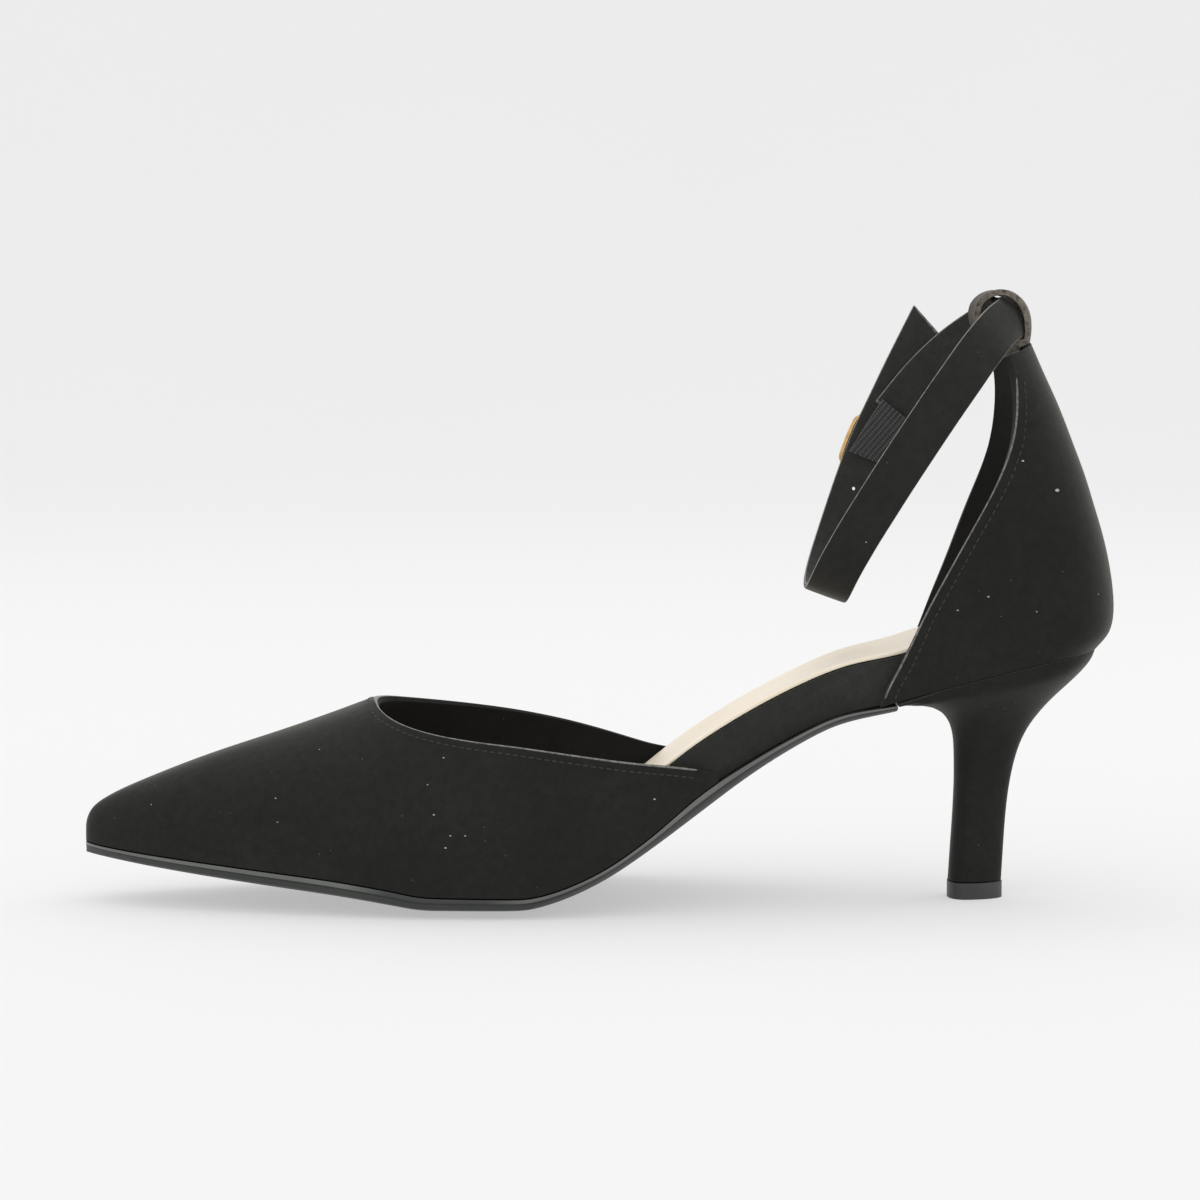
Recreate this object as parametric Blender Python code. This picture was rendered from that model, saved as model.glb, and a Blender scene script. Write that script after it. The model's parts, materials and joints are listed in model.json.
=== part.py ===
"""Right dorsay pump: a pointed vamp, an open waist, a high quarter and a buckled ankle strap.

X runs from the toe (negative) to the heel, Y from the inner side of the foot (negative) to the
outer side, and Z up from the floor. The origin is on the floor under the middle of the shoe.
A station is a place along the shoe, 0 at the tip of the toe and 1 at the back of the quarter.
"""

import math
from collections import Counter, namedtuple

import bmesh
import bpy
import numpy as np
from mathutils import Vector

# Driving sizes, in metres
LENGTH = 0.245
BALL_HALF_WIDTH = 0.0377
TOE_SPRING = 0.0114
SEAT_HEIGHT = 0.0596
WAIST_DROP = 0.0138
WAIST_HEIGHT = SEAT_HEIGHT - WAIST_DROP
THROAT_HEIGHT = 0.0483
FOOTBED_HEIGHT = 0.0115
QUARTER_TOP = 0.1315
GAP = 0.0003

# Sole and footbed
SOLE_EDGE = 0.0027
SOLE_ROLL = 0.0023
SOLE_STEP = 0.0004
SOLE_BEVEL = 0.0016
ROLL_FLAT = 0.52
ROLL_SHOULDER = 0.80
ROLL_SHOULDER_RISE = 0.30
LIP_SHARE = 0.40
STEP_SHARE = 0.48
SOLE_STEP_LIMIT = 0.2
SOLE_BEVEL_LIMIT = 0.3
SOCK_THICKNESS = 0.0016
SOCK_CUP = 0.0008
FOOTBED_CLEARANCE = 0.0006
SOCK_RINGS = (1.0, 0.8, 0.5, 0.2, 0.0)

# Upper
VAMP_WALL = 0.0017
QUARTER_WALL = 0.0020
VAMP_BULGE = 0.055
VAMP_ROUNDNESS = 2.3
LEAST_TOPLINE = 0.02
TAB_SLOPE = 0.3
BULGE_RATE = 2.6

# Heel
LIFT_HEIGHT = 0.0039
TIP_LENGTH = 0.0129
TIP_HALF_WIDTH = 0.0062
TIP_STATION = 0.8396
HEEL_ROUNDNESS = 2.2
BREAST_FLAT = 0.55
LIFT_FLARE = 0.0002

# Ankle strap, its tunnel and its buckle
STRAP_WIDTH = 0.0104
STRAP_THICKNESS = 0.0016
STRAP_REACH = 0.042
STRAP_DROP = 0.0652
STRAP_SPREAD = 0.027
TAIL_SLANT = 0.0041
TAIL_START = 0.94
TUNNEL_RADIUS = 0.0070
TUNNEL_WALL = 0.0013
TUNNEL_HALF_LENGTH = 0.0080
TUNNEL_LEG_DEPTHS = (0.0012, 0.0032, 0.0085)
TUNNEL_LEG_INSET = 0.0028
TUNNEL_SET_BACK = 0.0060
TUNNEL_RISE = 0.0065
STRAP_SET_BACK = 0.0050
STRAP_RISE = 0.0068
ELASTIC_WIDTH = 0.0082
ELASTIC_THICKNESS = 0.0010
ELASTIC_LAP = 0.006
ELASTIC_SEAT = 0.25
BUCKLE_LENGTH = 0.0125
BUCKLE_HALF_WIDTH = 0.0063
BUCKLE_WIRE = 0.0009
BUCKLE_SHIFT = 0.0010
BUCKLE_CORNER = 0.0022
PRONG_WIRE = 0.0006
RIBBON_SOFTNESS = 0.7
RIBBON_FLAT = 0.93

# Stations of the main joins
BREAST_STATION = 0.7850
FOOTPRINT_END = 0.9810
VAMP_END = 0.6120
WALL_CHANGE_START = 0.62
WALL_CHANGE_END = 0.72

# How finely each form is divided
TOE_STEPS = 17
THROAT_STEPS = 20
THROAT_BUNCHING = 1.3
WAIST_STEPS = 11
FOOTBED_STEPS = 48
VAMP_RIBS = 11
QUARTER_RIBS = 11
HEEL_RIBS = 9
STRAP_STEPS = 76
TUNNEL_SLICES = 6
ELASTIC_STEPS = 6
TUNNEL_POINTS = 22
CORNER_STEPS = 3
WIRE_ROUNDING = 2
MEASURE_STEPS = 400
TAB_MEASURE_STEPS = 40
SLOPE_STEP = 0.004
WELD_DISTANCE = 0.00002
SLIVER_LENGTH = 0.00001

FootprintRow = namedtuple("FootprintRow", "station centre half")
SoleRow = namedtuple("SoleRow", "station spring rise edge roll bevel")
SeatRow = namedtuple("SeatRow", "station height")
FootbedRow = namedtuple("FootbedRow", "station height tilt")
RidgeRow = namedtuple("RidgeRow", "station height")
ToplineRow = namedtuple("ToplineRow", "station medial lateral")
QuarterRow = namedtuple("QuarterRow", "station back medial lateral spread")
HeelRow = namedtuple("HeelRow", "breast_run breast_rise back_run back_rise width seat")
StrapRow = namedtuple("StrapRow", "station reach drop side lean")
TunnelRow = namedtuple("TunnelRow", "angle radius")

# Outline of the sole seen from above, in shares of the ball's half width
FOOTPRINT = (
    FootprintRow(0.000, -0.106, 0.000),
    FootprintRow(0.051, -0.106, 0.332),
    FootprintRow(0.092, -0.093, 0.464),
    FootprintRow(0.174, -0.060, 0.670),
    FootprintRow(0.255, -0.040, 0.836),
    FootprintRow(0.337, -0.010, 0.959),
    FootprintRow(0.418, 0.010, 1.000),
    FootprintRow(0.500, 0.042, 0.944),
    FootprintRow(0.582, 0.068, 0.814),
    FootprintRow(0.663, 0.070, 0.682),
    FootprintRow(0.745, 0.052, 0.604),
    FootprintRow(0.827, 0.028, 0.606),
    FootprintRow(0.890, 0.008, 0.636),
    FootprintRow(0.925, 0.000, 0.614),
    FootprintRow(0.949, 0.000, 0.533),
    FootprintRow(0.9694, 0.000, 0.350),
    FootprintRow(0.981, 0.000, 0.000),
)

# Underside, in shares of toe spring and waist height; edge and roll in shares of their own sizes
SOLE = (
    SoleRow(0.000, 1.000, 0.000, 0.60, 0.45, 0.2),
    SoleRow(0.090, 0.710, 0.000, 0.85, 0.70, 0.3),
    SoleRow(0.170, 0.480, 0.000, 1.00, 0.87, 0.4),
    SoleRow(0.255, 0.260, 0.000, 1.10, 0.96, 0.5),
    SoleRow(0.300, 0.110, 0.000, 1.10, 1.00, 0.5),
    SoleRow(0.337, 0.000, 0.000, 1.00, 1.00, 0.5),
    SoleRow(0.4265, 0.000, 0.000, 0.90, 1.00, 0.5),
    SoleRow(0.463, 0.000, 0.048, 0.80, 1.00, 0.5),
    SoleRow(0.501, 0.000, 0.137, 0.80, 0.95, 0.6),
    SoleRow(0.548, 0.000, 0.297, 0.95, 0.87, 0.8),
    SoleRow(0.596, 0.000, 0.483, 1.48, 0.78, 1.0),
    SoleRow(0.640, 0.000, 0.655, 1.12, 0.70, 1.0),
    SoleRow(0.691, 0.000, 0.825, 0.82, 0.62, 0.9),
    SoleRow(0.7295, 0.000, 0.928, 0.70, 0.50, 0.6),
    SoleRow(0.785, 0.000, 1.000, 0.45, 0.42, 0.4),
)

# Top of the heel under the quarter, in shares of the seat's height at the back
SEAT = (
    SeatRow(0.785, 0.8060),
    SeatRow(0.800, 0.8350),
    SeatRow(0.843, 0.8830),
    SeatRow(0.880, 0.9260),
    SeatRow(0.928, 0.9740),
    SeatRow(0.962, 0.9930),
    SeatRow(0.981, 1.0000),
)

# Top of the sock above the sole, and how far its inner edge is raised and its outer edge lowered,
# in shares of the footbed's height
FOOTBED = (
    FootbedRow(0.000, 0.36, 0.000),
    FootbedRow(0.200, 0.40, 0.000),
    FootbedRow(0.350, 0.46, 0.000),
    FootbedRow(0.430, 0.56, 0.040),
    FootbedRow(0.500, 0.86, 0.110),
    FootbedRow(0.560, 1.10, 0.155),
    FootbedRow(0.610, 1.03, 0.130),
    FootbedRow(0.650, 1.04, 0.100),
    FootbedRow(0.700, 1.02, 0.065),
    FootbedRow(0.770, 1.08, 0.015),
    FootbedRow(0.830, 1.06, 0.000),
    FootbedRow(0.981, 0.98, 0.000),
)

# Ridge of the last over the sole's middle, in shares of the throat's height
RIDGE = (
    RidgeRow(0.0000, 0.355),
    RidgeRow(0.0057, 0.450),
    RidgeRow(0.0245, 0.520),
    RidgeRow(0.0616, 0.605),
    RidgeRow(0.1200, 0.718),
    RidgeRow(0.1990, 0.849),
    RidgeRow(0.2770, 0.992),
    RidgeRow(0.3370, 1.120),
    RidgeRow(0.4200, 1.300),
    RidgeRow(0.5000, 1.450),
    RidgeRow(0.6120, 1.620),
)

# Topline of the vamp behind its throat, in shares of the throat's height
TOPLINE = (
    ToplineRow(0.2810, 1.000, 1.000),
    ToplineRow(0.2870, 0.972, 0.988),
    ToplineRow(0.2960, 0.945, 0.976),
    ToplineRow(0.3100, 0.916, 0.960),
    ToplineRow(0.3370, 0.880, 0.935),
    ToplineRow(0.3780, 0.849, 0.900),
    ToplineRow(0.4200, 0.826, 0.861),
    ToplineRow(0.4600, 0.797, 0.816),
    ToplineRow(0.5000, 0.766, 0.760),
    ToplineRow(0.5300, 0.743, 0.714),
    ToplineRow(0.5570, 0.726, 0.676),
    ToplineRow(0.5880, 0.705, 0.656),
    ToplineRow(0.6120, 0.672, 0.648),
)

# Back and front edges of the quarter by level, as stations, and its spread beside the footprint
QUARTER = (
    QuarterRow(0.000, 0.9810, 0.7670, 0.7900, 1.000),
    QuarterRow(0.030, 0.9900, 0.7710, 0.7970, 1.035),
    QuarterRow(0.060, 0.9970, 0.7735, 0.8030, 1.065),
    QuarterRow(0.130, 1.0000, 0.7870, 0.8155, 1.090),
    QuarterRow(0.250, 0.9952, 0.8060, 0.8294, 1.090),
    QuarterRow(0.360, 0.9872, 0.8270, 0.8445, 1.075),
    QuarterRow(0.450, 0.9784, 0.8440, 0.8551, 1.055),
    QuarterRow(0.550, 0.9696, 0.8640, 0.8678, 1.025),
    QuarterRow(0.640, 0.9594, 0.8800, 0.8808, 1.000),
    QuarterRow(0.730, 0.9498, 0.8906, 0.8894, 0.980),
    QuarterRow(0.820, 0.9396, 0.8947, 0.8939, 0.960),
    QuarterRow(0.920, 0.9261, 0.8947, 0.8947, 0.945),
    QuarterRow(1.000, 0.9163, 0.8886, 0.8902, 0.930),
)

# Heel from its tip up, in shares between the tip's and the seat's places and sizes
HEEL = (
    HeelRow(1.000, 0.000, 0.000, 0.000, 0.000, 0.00),
    HeelRow(1.030, 0.155, 0.018, 0.134, 0.010, 0.00),
    HeelRow(1.070, 0.338, 0.037, 0.265, 0.030, 0.00),
    HeelRow(1.100, 0.520, 0.070, 0.400, 0.060, 0.00),
    HeelRow(1.095, 0.670, 0.140, 0.538, 0.120, 0.00),
    HeelRow(1.085, 0.772, 0.240, 0.640, 0.220, 0.05),
    HeelRow(1.035, 0.840, 0.380, 0.720, 0.370, 0.15),
    HeelRow(0.910, 0.910, 0.550, 0.796, 0.560, 0.35),
    HeelRow(0.620, 0.955, 0.735, 0.863, 0.750, 0.60),
    HeelRow(0.290, 0.972, 0.885, 0.924, 0.900, 0.85),
    HeelRow(0.015, 0.978, 0.973, 0.970, 0.985, 1.00),
    HeelRow(0.000, 1.000, 1.000, 1.000, 1.000, 1.00),
)

# Strap from its short end through the tunnel, round the inner side and back to its tail;
# reach, drop and side in shares of the strap's sizes, lean of its width in degrees
STRAP = (
    StrapRow(0.000, 0.612, 0.362, 0.930, 46.0),
    StrapRow(0.050, 0.425, 0.215, 0.920, 46.0),
    StrapRow(0.100, 0.222, 0.090, 0.760, 50.0),
    StrapRow(0.135, 0.085, 0.028, 0.520, 56.0),
    StrapRow(0.165, 0.020, 0.006, 0.220, 58.0),
    StrapRow(0.185, 0.000, 0.000, 0.000, 58.0),
    StrapRow(0.205, 0.020, 0.006, -0.220, 58.0),
    StrapRow(0.235, 0.085, 0.030, -0.520, 55.0),
    StrapRow(0.275, 0.200, 0.103, -0.840, 46.0),
    StrapRow(0.325, 0.353, 0.235, -0.985, 37.0),
    StrapRow(0.400, 0.562, 0.433, -1.010, 34.0),
    StrapRow(0.475, 0.781, 0.656, -0.960, 33.0),
    StrapRow(0.525, 0.900, 0.789, -0.840, 31.0),
    StrapRow(0.570, 0.990, 0.912, -0.600, 27.0),
    StrapRow(0.605, 1.028, 0.988, -0.280, 22.0),
    StrapRow(0.630, 1.033, 1.004, 0.000, 20.0),
    StrapRow(0.655, 1.026, 0.990, 0.290, 20.0),
    StrapRow(0.690, 0.993, 0.934, 0.660, 21.0),
    StrapRow(0.735, 0.940, 0.845, 0.900, 22.0),
    StrapRow(0.790, 0.872, 0.720, 1.010, 22.0),
    StrapRow(0.845, 0.790, 0.568, 1.040, 22.0),
    StrapRow(0.890, 0.712, 0.440, 1.060, 26.0),
    StrapRow(0.925, 0.635, 0.337, 1.090, 31.0),
    StrapRow(0.960, 0.540, 0.210, 1.130, 33.0),
    StrapRow(1.000, 0.365, -0.012, 1.195, 37.0),
)
BUCKLE_STATION = 0.876

# Tunnel seen from the side: angle from straight back, upwards, and radius in shares
TUNNEL = (
    TunnelRow(-45.0, 1.16),
    TunnelRow(-30.0, 1.01),
    TunnelRow(-10.0, 0.89),
    TunnelRow(20.0, 0.84),
    TunnelRow(52.0, 0.87),
    TunnelRow(79.0, 0.95),
    TunnelRow(115.0, 1.03),
    TunnelRow(150.0, 1.06),
    TunnelRow(190.0, 0.94),
    TunnelRow(230.0, 0.87),
    TunnelRow(270.0, 0.93),
    TunnelRow(292.0, 0.99),
)

Finish = namedtuple("Finish", "name colour roughness metallic")
SUEDE = Finish("black_suede", (0.012, 0.011, 0.010), 0.92, 0.0)
SOCK_LEATHER = Finish("cream_leather", (0.66, 0.55, 0.38), 0.48, 0.0)
SOLE_RUBBER = Finish("sole_rubber", (0.030, 0.034, 0.031), 0.34, 0.0)
LIFT_RUBBER = Finish("lift_rubber", (0.052, 0.058, 0.054), 0.55, 0.0)
ELASTIC_WEAVE = Finish("black_elastic", (0.022, 0.022, 0.023), 0.80, 0.0)
GOLD_METAL = Finish("gold_metal", (0.78, 0.58, 0.32), 0.26, 1.0)


class Profile:
    """A smooth curve through one column of a table that never overshoots its rows."""

    def __init__(self, rows, column, key=float):
        self.key = key
        self.at = np.array([key(row[0]) for row in rows])
        self.value = np.array([getattr(row, column) for row in rows], dtype=float)
        span = np.diff(self.at)
        rise = np.diff(self.value) / span
        self.slope = np.concatenate([rise[:1], (rise[1:] + rise[:-1]) / 2, rise[-1:]])
        for i in range(1, len(rows) - 1):
            before, after = rise[i - 1], rise[i]
            if before * after <= 0:
                self.slope[i] = 0.0
            else:
                wide, narrow = 2 * span[i] + span[i - 1], span[i] + 2 * span[i - 1]
                self.slope[i] = (wide + narrow) / (wide / before + narrow / after)

    def __call__(self, station):
        x = min(max(self.key(station), self.at[0]), self.at[-1])
        i = min(int(np.searchsorted(self.at, x, side="right")) - 1, len(self.at) - 2)
        span = self.at[i + 1] - self.at[i]
        t = (x - self.at[i]) / span
        return float(
            self.value[i] * (1 + 2 * t) * (1 - t) ** 2
            + self.slope[i] * span * t * (1 - t) ** 2
            + self.value[i + 1] * t * t * (3 - 2 * t)
            + self.slope[i + 1] * span * t * t * (t - 1)
        )


def turn_of(station):
    """Share of a half turn round the footprint, so that the toe and the heel come out round."""
    share = min(max(station / FOOTPRINT_END, 0.0), 1.0)
    return math.acos(1 - 2 * share) / math.pi


def station_of(turn):
    return FOOTPRINT_END * (1 - math.cos(math.pi * turn)) / 2


def x_at(station):
    return LENGTH * (station - 0.5)


def station_at(x):
    return x / LENGTH + 0.5


footprint_centre = Profile(FOOTPRINT, "centre", turn_of)
footprint_half = Profile(FOOTPRINT, "half", turn_of)
sole_spring = Profile(SOLE, "spring")
sole_rise = Profile(SOLE, "rise")
sole_edge = Profile(SOLE, "edge")
sole_roll = Profile(SOLE, "roll")
sole_bevel = Profile(SOLE, "bevel")
seat_height = Profile(SEAT, "height")
footbed_height = Profile(FOOTBED, "height")
footbed_tilt = Profile(FOOTBED, "tilt")
ridge_height = Profile(RIDGE, "height", turn_of)
topline = {side: Profile(TOPLINE, side) for side in ("medial", "lateral")}
quarter_back = Profile(QUARTER, "back")
quarter_front = {side: Profile(QUARTER, side) for side in ("medial", "lateral")}
quarter_spread = Profile(QUARTER, "spread")
strap_reach = Profile(STRAP, "reach")
strap_drop = Profile(STRAP, "drop")
strap_side = Profile(STRAP, "side")
strap_lean = Profile(STRAP, "lean")
tunnel_radius = Profile(TUNNEL, "radius")

SIDES = {"medial": -1.0, "lateral": 1.0}


def underside(station):
    return TOE_SPRING * sole_spring(station) + WAIST_HEIGHT * sole_rise(station)


def sole_top(station):
    """Height of the surface that carries the upper and the footbed: the sole's, then the heel's."""
    if station >= BREAST_STATION:
        return SEAT_HEIGHT * seat_height(station)
    return underside(station) + SOLE_ROLL * sole_roll(station) + SOLE_EDGE * sole_edge(station)


def rim(station, side, inset=0.0):
    """Point of the footprint's edge, moved inwards square to the edge."""
    def edge(turn):
        at = station_of(turn)
        y = footprint_centre(at) + SIDES[side] * footprint_half(at)
        return Vector((x_at(at), BALL_HALF_WIDTH * y))

    turn = turn_of(station)
    low, high = max(turn - SLOPE_STEP, 0.0), min(turn + SLOPE_STEP, 1.0)
    along = edge(high) - edge(low)
    if turn < SLOPE_STEP or turn > 1 - SLOPE_STEP:
        along = Vector((0.0, SIDES[side] * (1 if turn < SLOPE_STEP else -1)))
    inwards = Vector((along.y, -along.x)) * SIDES[side]
    return edge(turn) + inwards.normalized() * inset


def turns_between(first, last, steps):
    """Stations spread evenly round the footprint, closer at the toe and the heel."""
    low, high = turn_of(first), turn_of(last)
    return [station_of(low + (high - low) * i / steps) for i in range(steps + 1)]


def shares(count):
    return [i / count for i in range(count + 1)]


def upper_stations():
    """Stations that the vamp and the sole share: round the toe, then short steps at the throat."""
    throat = TOPLINE[0].station
    behind = [throat + (VAMP_END - throat) * share ** THROAT_BUNCHING
              for share in shares(THROAT_STEPS)]
    return turns_between(0.0, throat, TOE_STEPS) + behind[1:]


def mix(a, b, share):
    return a + (b - a) * share


def skin(bm, rings, closed):
    """Faces between neighbouring rings of points; returns the rings' vertices."""
    made = [[bm.verts.new(point) for point in ring] for ring in rings]
    for one, other in zip(made, made[1:]):
        last = len(one) if closed else len(one) - 1
        for i in range(last):
            j = (i + 1) % len(one)
            bm.faces.new((one[i], one[j], other[j], other[i]))
    return made


def prism(bm, cells, slices):
    """A solid that repeats a flat pattern of cells along its slices, with a cap at each end."""
    made = [[bm.verts.new(point) for point in points] for points in slices]
    uses = Counter(frozenset(edge) for cell in cells for edge in zip(cell, cell[1:] + cell[:1]))
    for cap in (made[0], made[-1]):
        for cell in cells:
            bm.faces.new([cap[i] for i in cell])
    for edge in [edge for edge, count in uses.items() if count == 1]:
        i, j = sorted(edge)
        for one, other in zip(made, made[1:]):
            bm.faces.new((one[i], one[j], other[j], other[i]))


def weld(bm):
    """Joins the points that meet at the toe, the heel or a seam."""
    bmesh.ops.remove_doubles(bm, verts=bm.verts, dist=WELD_DISTANCE)
    bmesh.ops.dissolve_degenerate(bm, edges=bm.edges, dist=SLIVER_LENGTH)
    bmesh.ops.recalc_face_normals(bm, faces=bm.faces)


def material_of(finish):
    found = bpy.data.materials.get(finish.name)
    if found:
        return found
    made = bpy.data.materials.new(finish.name)
    made.use_nodes = True
    shader = made.node_tree.nodes["Principled BSDF"]
    shader.inputs["Base Color"].default_value = (*finish.colour, 1.0)
    shader.inputs["Roughness"].default_value = finish.roughness
    shader.inputs["Metallic"].default_value = finish.metallic
    return made


def add_object(name, bm, finish, sharp_degrees=40):
    mesh = bpy.data.meshes.new(name)
    bm.to_mesh(mesh)
    bm.free()
    mesh.materials.append(material_of(finish))
    mesh.shade_smooth()
    mesh.set_sharp_from_angle(angle=math.radians(sharp_degrees))
    made = bpy.data.objects.new(name, mesh)
    bpy.context.scene.collection.objects.link(made)
    return made


def wall_inwards(made, thickness):
    """Gives a surface its wall, on the inner side only."""
    wall = made.modifiers.new("wall", "SOLIDIFY")
    wall.thickness = thickness
    wall.offset = -1.0
    wall.use_even_offset = True
    wall.use_rim = True
    return made


def sole_section(station):
    """The outsole's outline across the shoe: top, lip, step, bevelled edge and rolled underside."""
    top = sole_top(station)
    edge = SOLE_EDGE * sole_edge(station)
    low = underside(station)
    x = x_at(station)
    half = BALL_HALF_WIDTH * footprint_half(station)
    centre = BALL_HALF_WIDTH * footprint_centre(station)
    step = min(SOLE_STEP, half * SOLE_STEP_LIMIT)
    bevel = min(SOLE_BEVEL * sole_bevel(station), half * SOLE_BEVEL_LIMIT)
    base = half - step - bevel
    outline = (
        (half, top),
        (half, top - edge * LIP_SHARE),
        (half - step, top - edge * STEP_SHARE),
        (base, top - edge),
        (base * ROLL_SHOULDER, mix(low, top - edge, ROLL_SHOULDER_RISE)),
        (base * ROLL_FLAT, low),
    )
    right = [Vector((x, centre + y, z)) for y, z in outline]
    left = [Vector((x, centre - y, z)) for y, z in reversed(outline)]
    return right + left


def build_outsole():
    bm = bmesh.new()
    end = BREAST_STATION - GAP / LENGTH
    waist = [mix(VAMP_END, end, share) for share in shares(WAIST_STEPS)]
    stations = upper_stations() + waist[1:]
    rings = skin(bm, [sole_section(station) for station in stations], closed=True)
    bm.faces.new(rings[-1])
    weld(bm)
    return add_object("outsole", bm, SOLE_RUBBER)


def heel_ring(row):
    """One level of the heel: from the breast round the back, as (medial, lateral) pairs."""
    seat_front, seat_back = x_at(BREAST_STATION), x_at(FOOTPRINT_END)
    tip_front = x_at(TIP_STATION)
    tip_back = tip_front + TIP_LENGTH
    base = LIFT_HEIGHT + GAP
    breast = Vector((mix(seat_front, tip_front, row.breast_run),
                     mix(base, SEAT_HEIGHT * seat_height(BREAST_STATION), row.breast_rise)))
    back = Vector((mix(tip_back, seat_back, row.back_run),
                   mix(base, SEAT_HEIGHT * seat_height(FOOTPRINT_END), row.back_rise)))
    seat_half = BALL_HALF_WIDTH * footprint_half(BREAST_STATION)
    half = mix(TIP_HALF_WIDTH, seat_half, row.width)
    pairs = []
    for share in shares(HEEL_RIBS):
        run = 1 - (1 - share) ** 2
        x = mix(breast.x, back.x, run)
        level = mix(breast.y, back.y, run)
        station = mix(BREAST_STATION, FOOTPRINT_END, run)
        if row.breast_rise >= 1:
            level = SEAT_HEIGHT * seat_height(station)
        breast_half = half * BREAST_FLAT
        round_half = half * math.sqrt(max(1 - run ** HEEL_ROUNDNESS, 0.0)) if share else breast_half
        centre = BALL_HALF_WIDTH * footprint_centre(station) * row.seat
        seated = BALL_HALF_WIDTH * footprint_half(station) * half / seat_half
        across = mix(round_half, seated, row.seat)
        pairs.append((Vector((x, centre - across, level)), Vector((x, centre + across, level))))
    return pairs


def stack_of_pairs(bm, levels):
    """A solid from levels of (medial, lateral) pairs, closed by strips at its top and bottom."""
    rings = []
    for pairs in levels:
        rings.append([pair[0] for pair in pairs] + [pair[1] for pair in reversed(pairs)])
    made = skin(bm, rings, closed=True)
    for ring in (made[0], made[-1]):
        for i in range(len(ring) // 2 - 1):
            bm.faces.new((ring[i], ring[i + 1], ring[-2 - i], ring[-1 - i]))
    weld(bm)


def build_heel():
    bm = bmesh.new()
    stack_of_pairs(bm, [heel_ring(row) for row in HEEL])
    return add_object("heel", bm, SUEDE)


def build_top_lift():
    tip = heel_ring(HEEL[0])
    middle = sum((pair[0] + pair[1] for pair in tip), Vector()) / (2 * len(tip))
    levels = []
    for height in (0.0, LIFT_HEIGHT):
        level = []
        for pair in tip:
            spot = []
            for point in pair:
                out = (point - middle).normalized() * LIFT_FLARE
                spot.append(Vector((point.x + out.x, point.y + out.y, height)))
            level.append(tuple(spot))
        levels.append(level)
    bm = bmesh.new()
    stack_of_pairs(bm, levels)
    return add_object("top_lift", bm, LIFT_RUBBER)


def footbed_top(point, lateral_share):
    """Height of the sock at a place, given how far across it lies from the inner edge."""
    station = station_at(point.x)
    tilt = footbed_tilt(station) * (1 - 2 * lateral_share)
    return sole_top(station) + FOOTBED_HEIGHT * (footbed_height(station) + tilt)


def footbed_pairs():
    """The footbed's edge, as (medial, lateral) pairs that stay inside the walls of the upper."""
    pairs = []
    for station in turns_between(0.0, FOOTPRINT_END, FOOTBED_STEPS):
        change = (station - WALL_CHANGE_START) / (WALL_CHANGE_END - WALL_CHANGE_START)
        wall = mix(VAMP_WALL, QUARTER_WALL, min(max(change, 0.0), 1.0))
        inset = wall + GAP + FOOTBED_CLEARANCE
        pairs.append((rim(station, "medial", inset), rim(station, "lateral", inset)))
    return pairs


def build_insole_board():
    """The covered board between the sole and the sock, whose sides show at the open waist."""
    low, high = [], []
    for pair in footbed_pairs():
        low.append([Vector((p.x, p.y, sole_top(station_at(p.x)) + GAP)) for p in pair])
        high.append([Vector((p.x, p.y, footbed_top(p, share) - SOCK_THICKNESS))
                     for p, share in zip(pair, (0.0, 1.0))])
    bm = bmesh.new()
    stack_of_pairs(bm, [low, high])
    return add_object("insole_board", bm, SUEDE)


def build_insole():
    """The sock: a thin sheet over the board that cups slightly under the heel."""
    rings = []
    for medial, lateral in footbed_pairs():
        ring = []
        depth = SOCK_CUP * min((lateral - medial).length / BALL_HALF_WIDTH, 1.0)
        for share in (0.0, 1.0):
            p = medial.lerp(lateral, share)
            ring.append(Vector((p.x, p.y, footbed_top(p, share) - SOCK_THICKNESS + GAP)))
        for share in SOCK_RINGS:
            p = medial.lerp(lateral, share)
            cup = depth * math.sin(math.pi * share)
            ring.append(Vector((p.x, p.y, footbed_top(p, share) - cup)))
        rings.append(ring)
    bm = bmesh.new()
    skin(bm, rings, closed=True)
    weld(bm)
    return add_object("insole", bm, SOCK_LEATHER)


def vamp_point(station, side, angle):
    """A point of the last over the forefoot: angle 0 at the sole's edge, 90 on the ridge."""
    power = 2 / VAMP_ROUNDNESS
    low = sole_top(station) + GAP
    high = THROAT_HEIGHT * ridge_height(station)
    bulge = 1 + VAMP_BULGE * math.sin(math.radians(min(BULGE_RATE * angle, 180.0)))
    out = max(math.cos(math.radians(angle)), 0.0) ** power * bulge
    y = footprint_centre(station) + SIDES[side] * footprint_half(station) * out
    up = math.sin(math.radians(angle)) ** power
    return Vector((x_at(station), BALL_HALF_WIDTH * y, mix(low, high, up)))


def topline_angle(station, side):
    """How far up the last the vamp reaches: all the way before the throat, less behind it."""
    if station <= TOPLINE[0].station:
        return 90.0
    low = sole_top(station) + GAP
    high = THROAT_HEIGHT * ridge_height(station)
    share = (THROAT_HEIGHT * topline[side](station) - low) / (high - low)
    return math.degrees(math.asin(min(max(share, LEAST_TOPLINE), 1.0) ** (VAMP_ROUNDNESS / 2)))


def build_vamp():
    bm = bmesh.new()
    for side in SIDES:
        rings = []
        for station in upper_stations():
            reach = topline_angle(station, side)
            ring = [vamp_point(station, side, reach * share) for share in shares(VAMP_RIBS)]
            rings.append(ring)
        skin(bm, rings, closed=False)
    weld(bm)
    return wall_inwards(add_object("vamp", bm, SUEDE), VAMP_WALL)


def quarter_height(x, level):
    """Level 0 lies on the sole and the heel, level 1 is the tab's top, lower towards the front."""
    low = sole_top(station_at(x)) + GAP
    high = QUARTER_TOP - TAB_SLOPE * (x_at(quarter_back(1.0)) - x)
    return mix(low, high, level)


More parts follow.
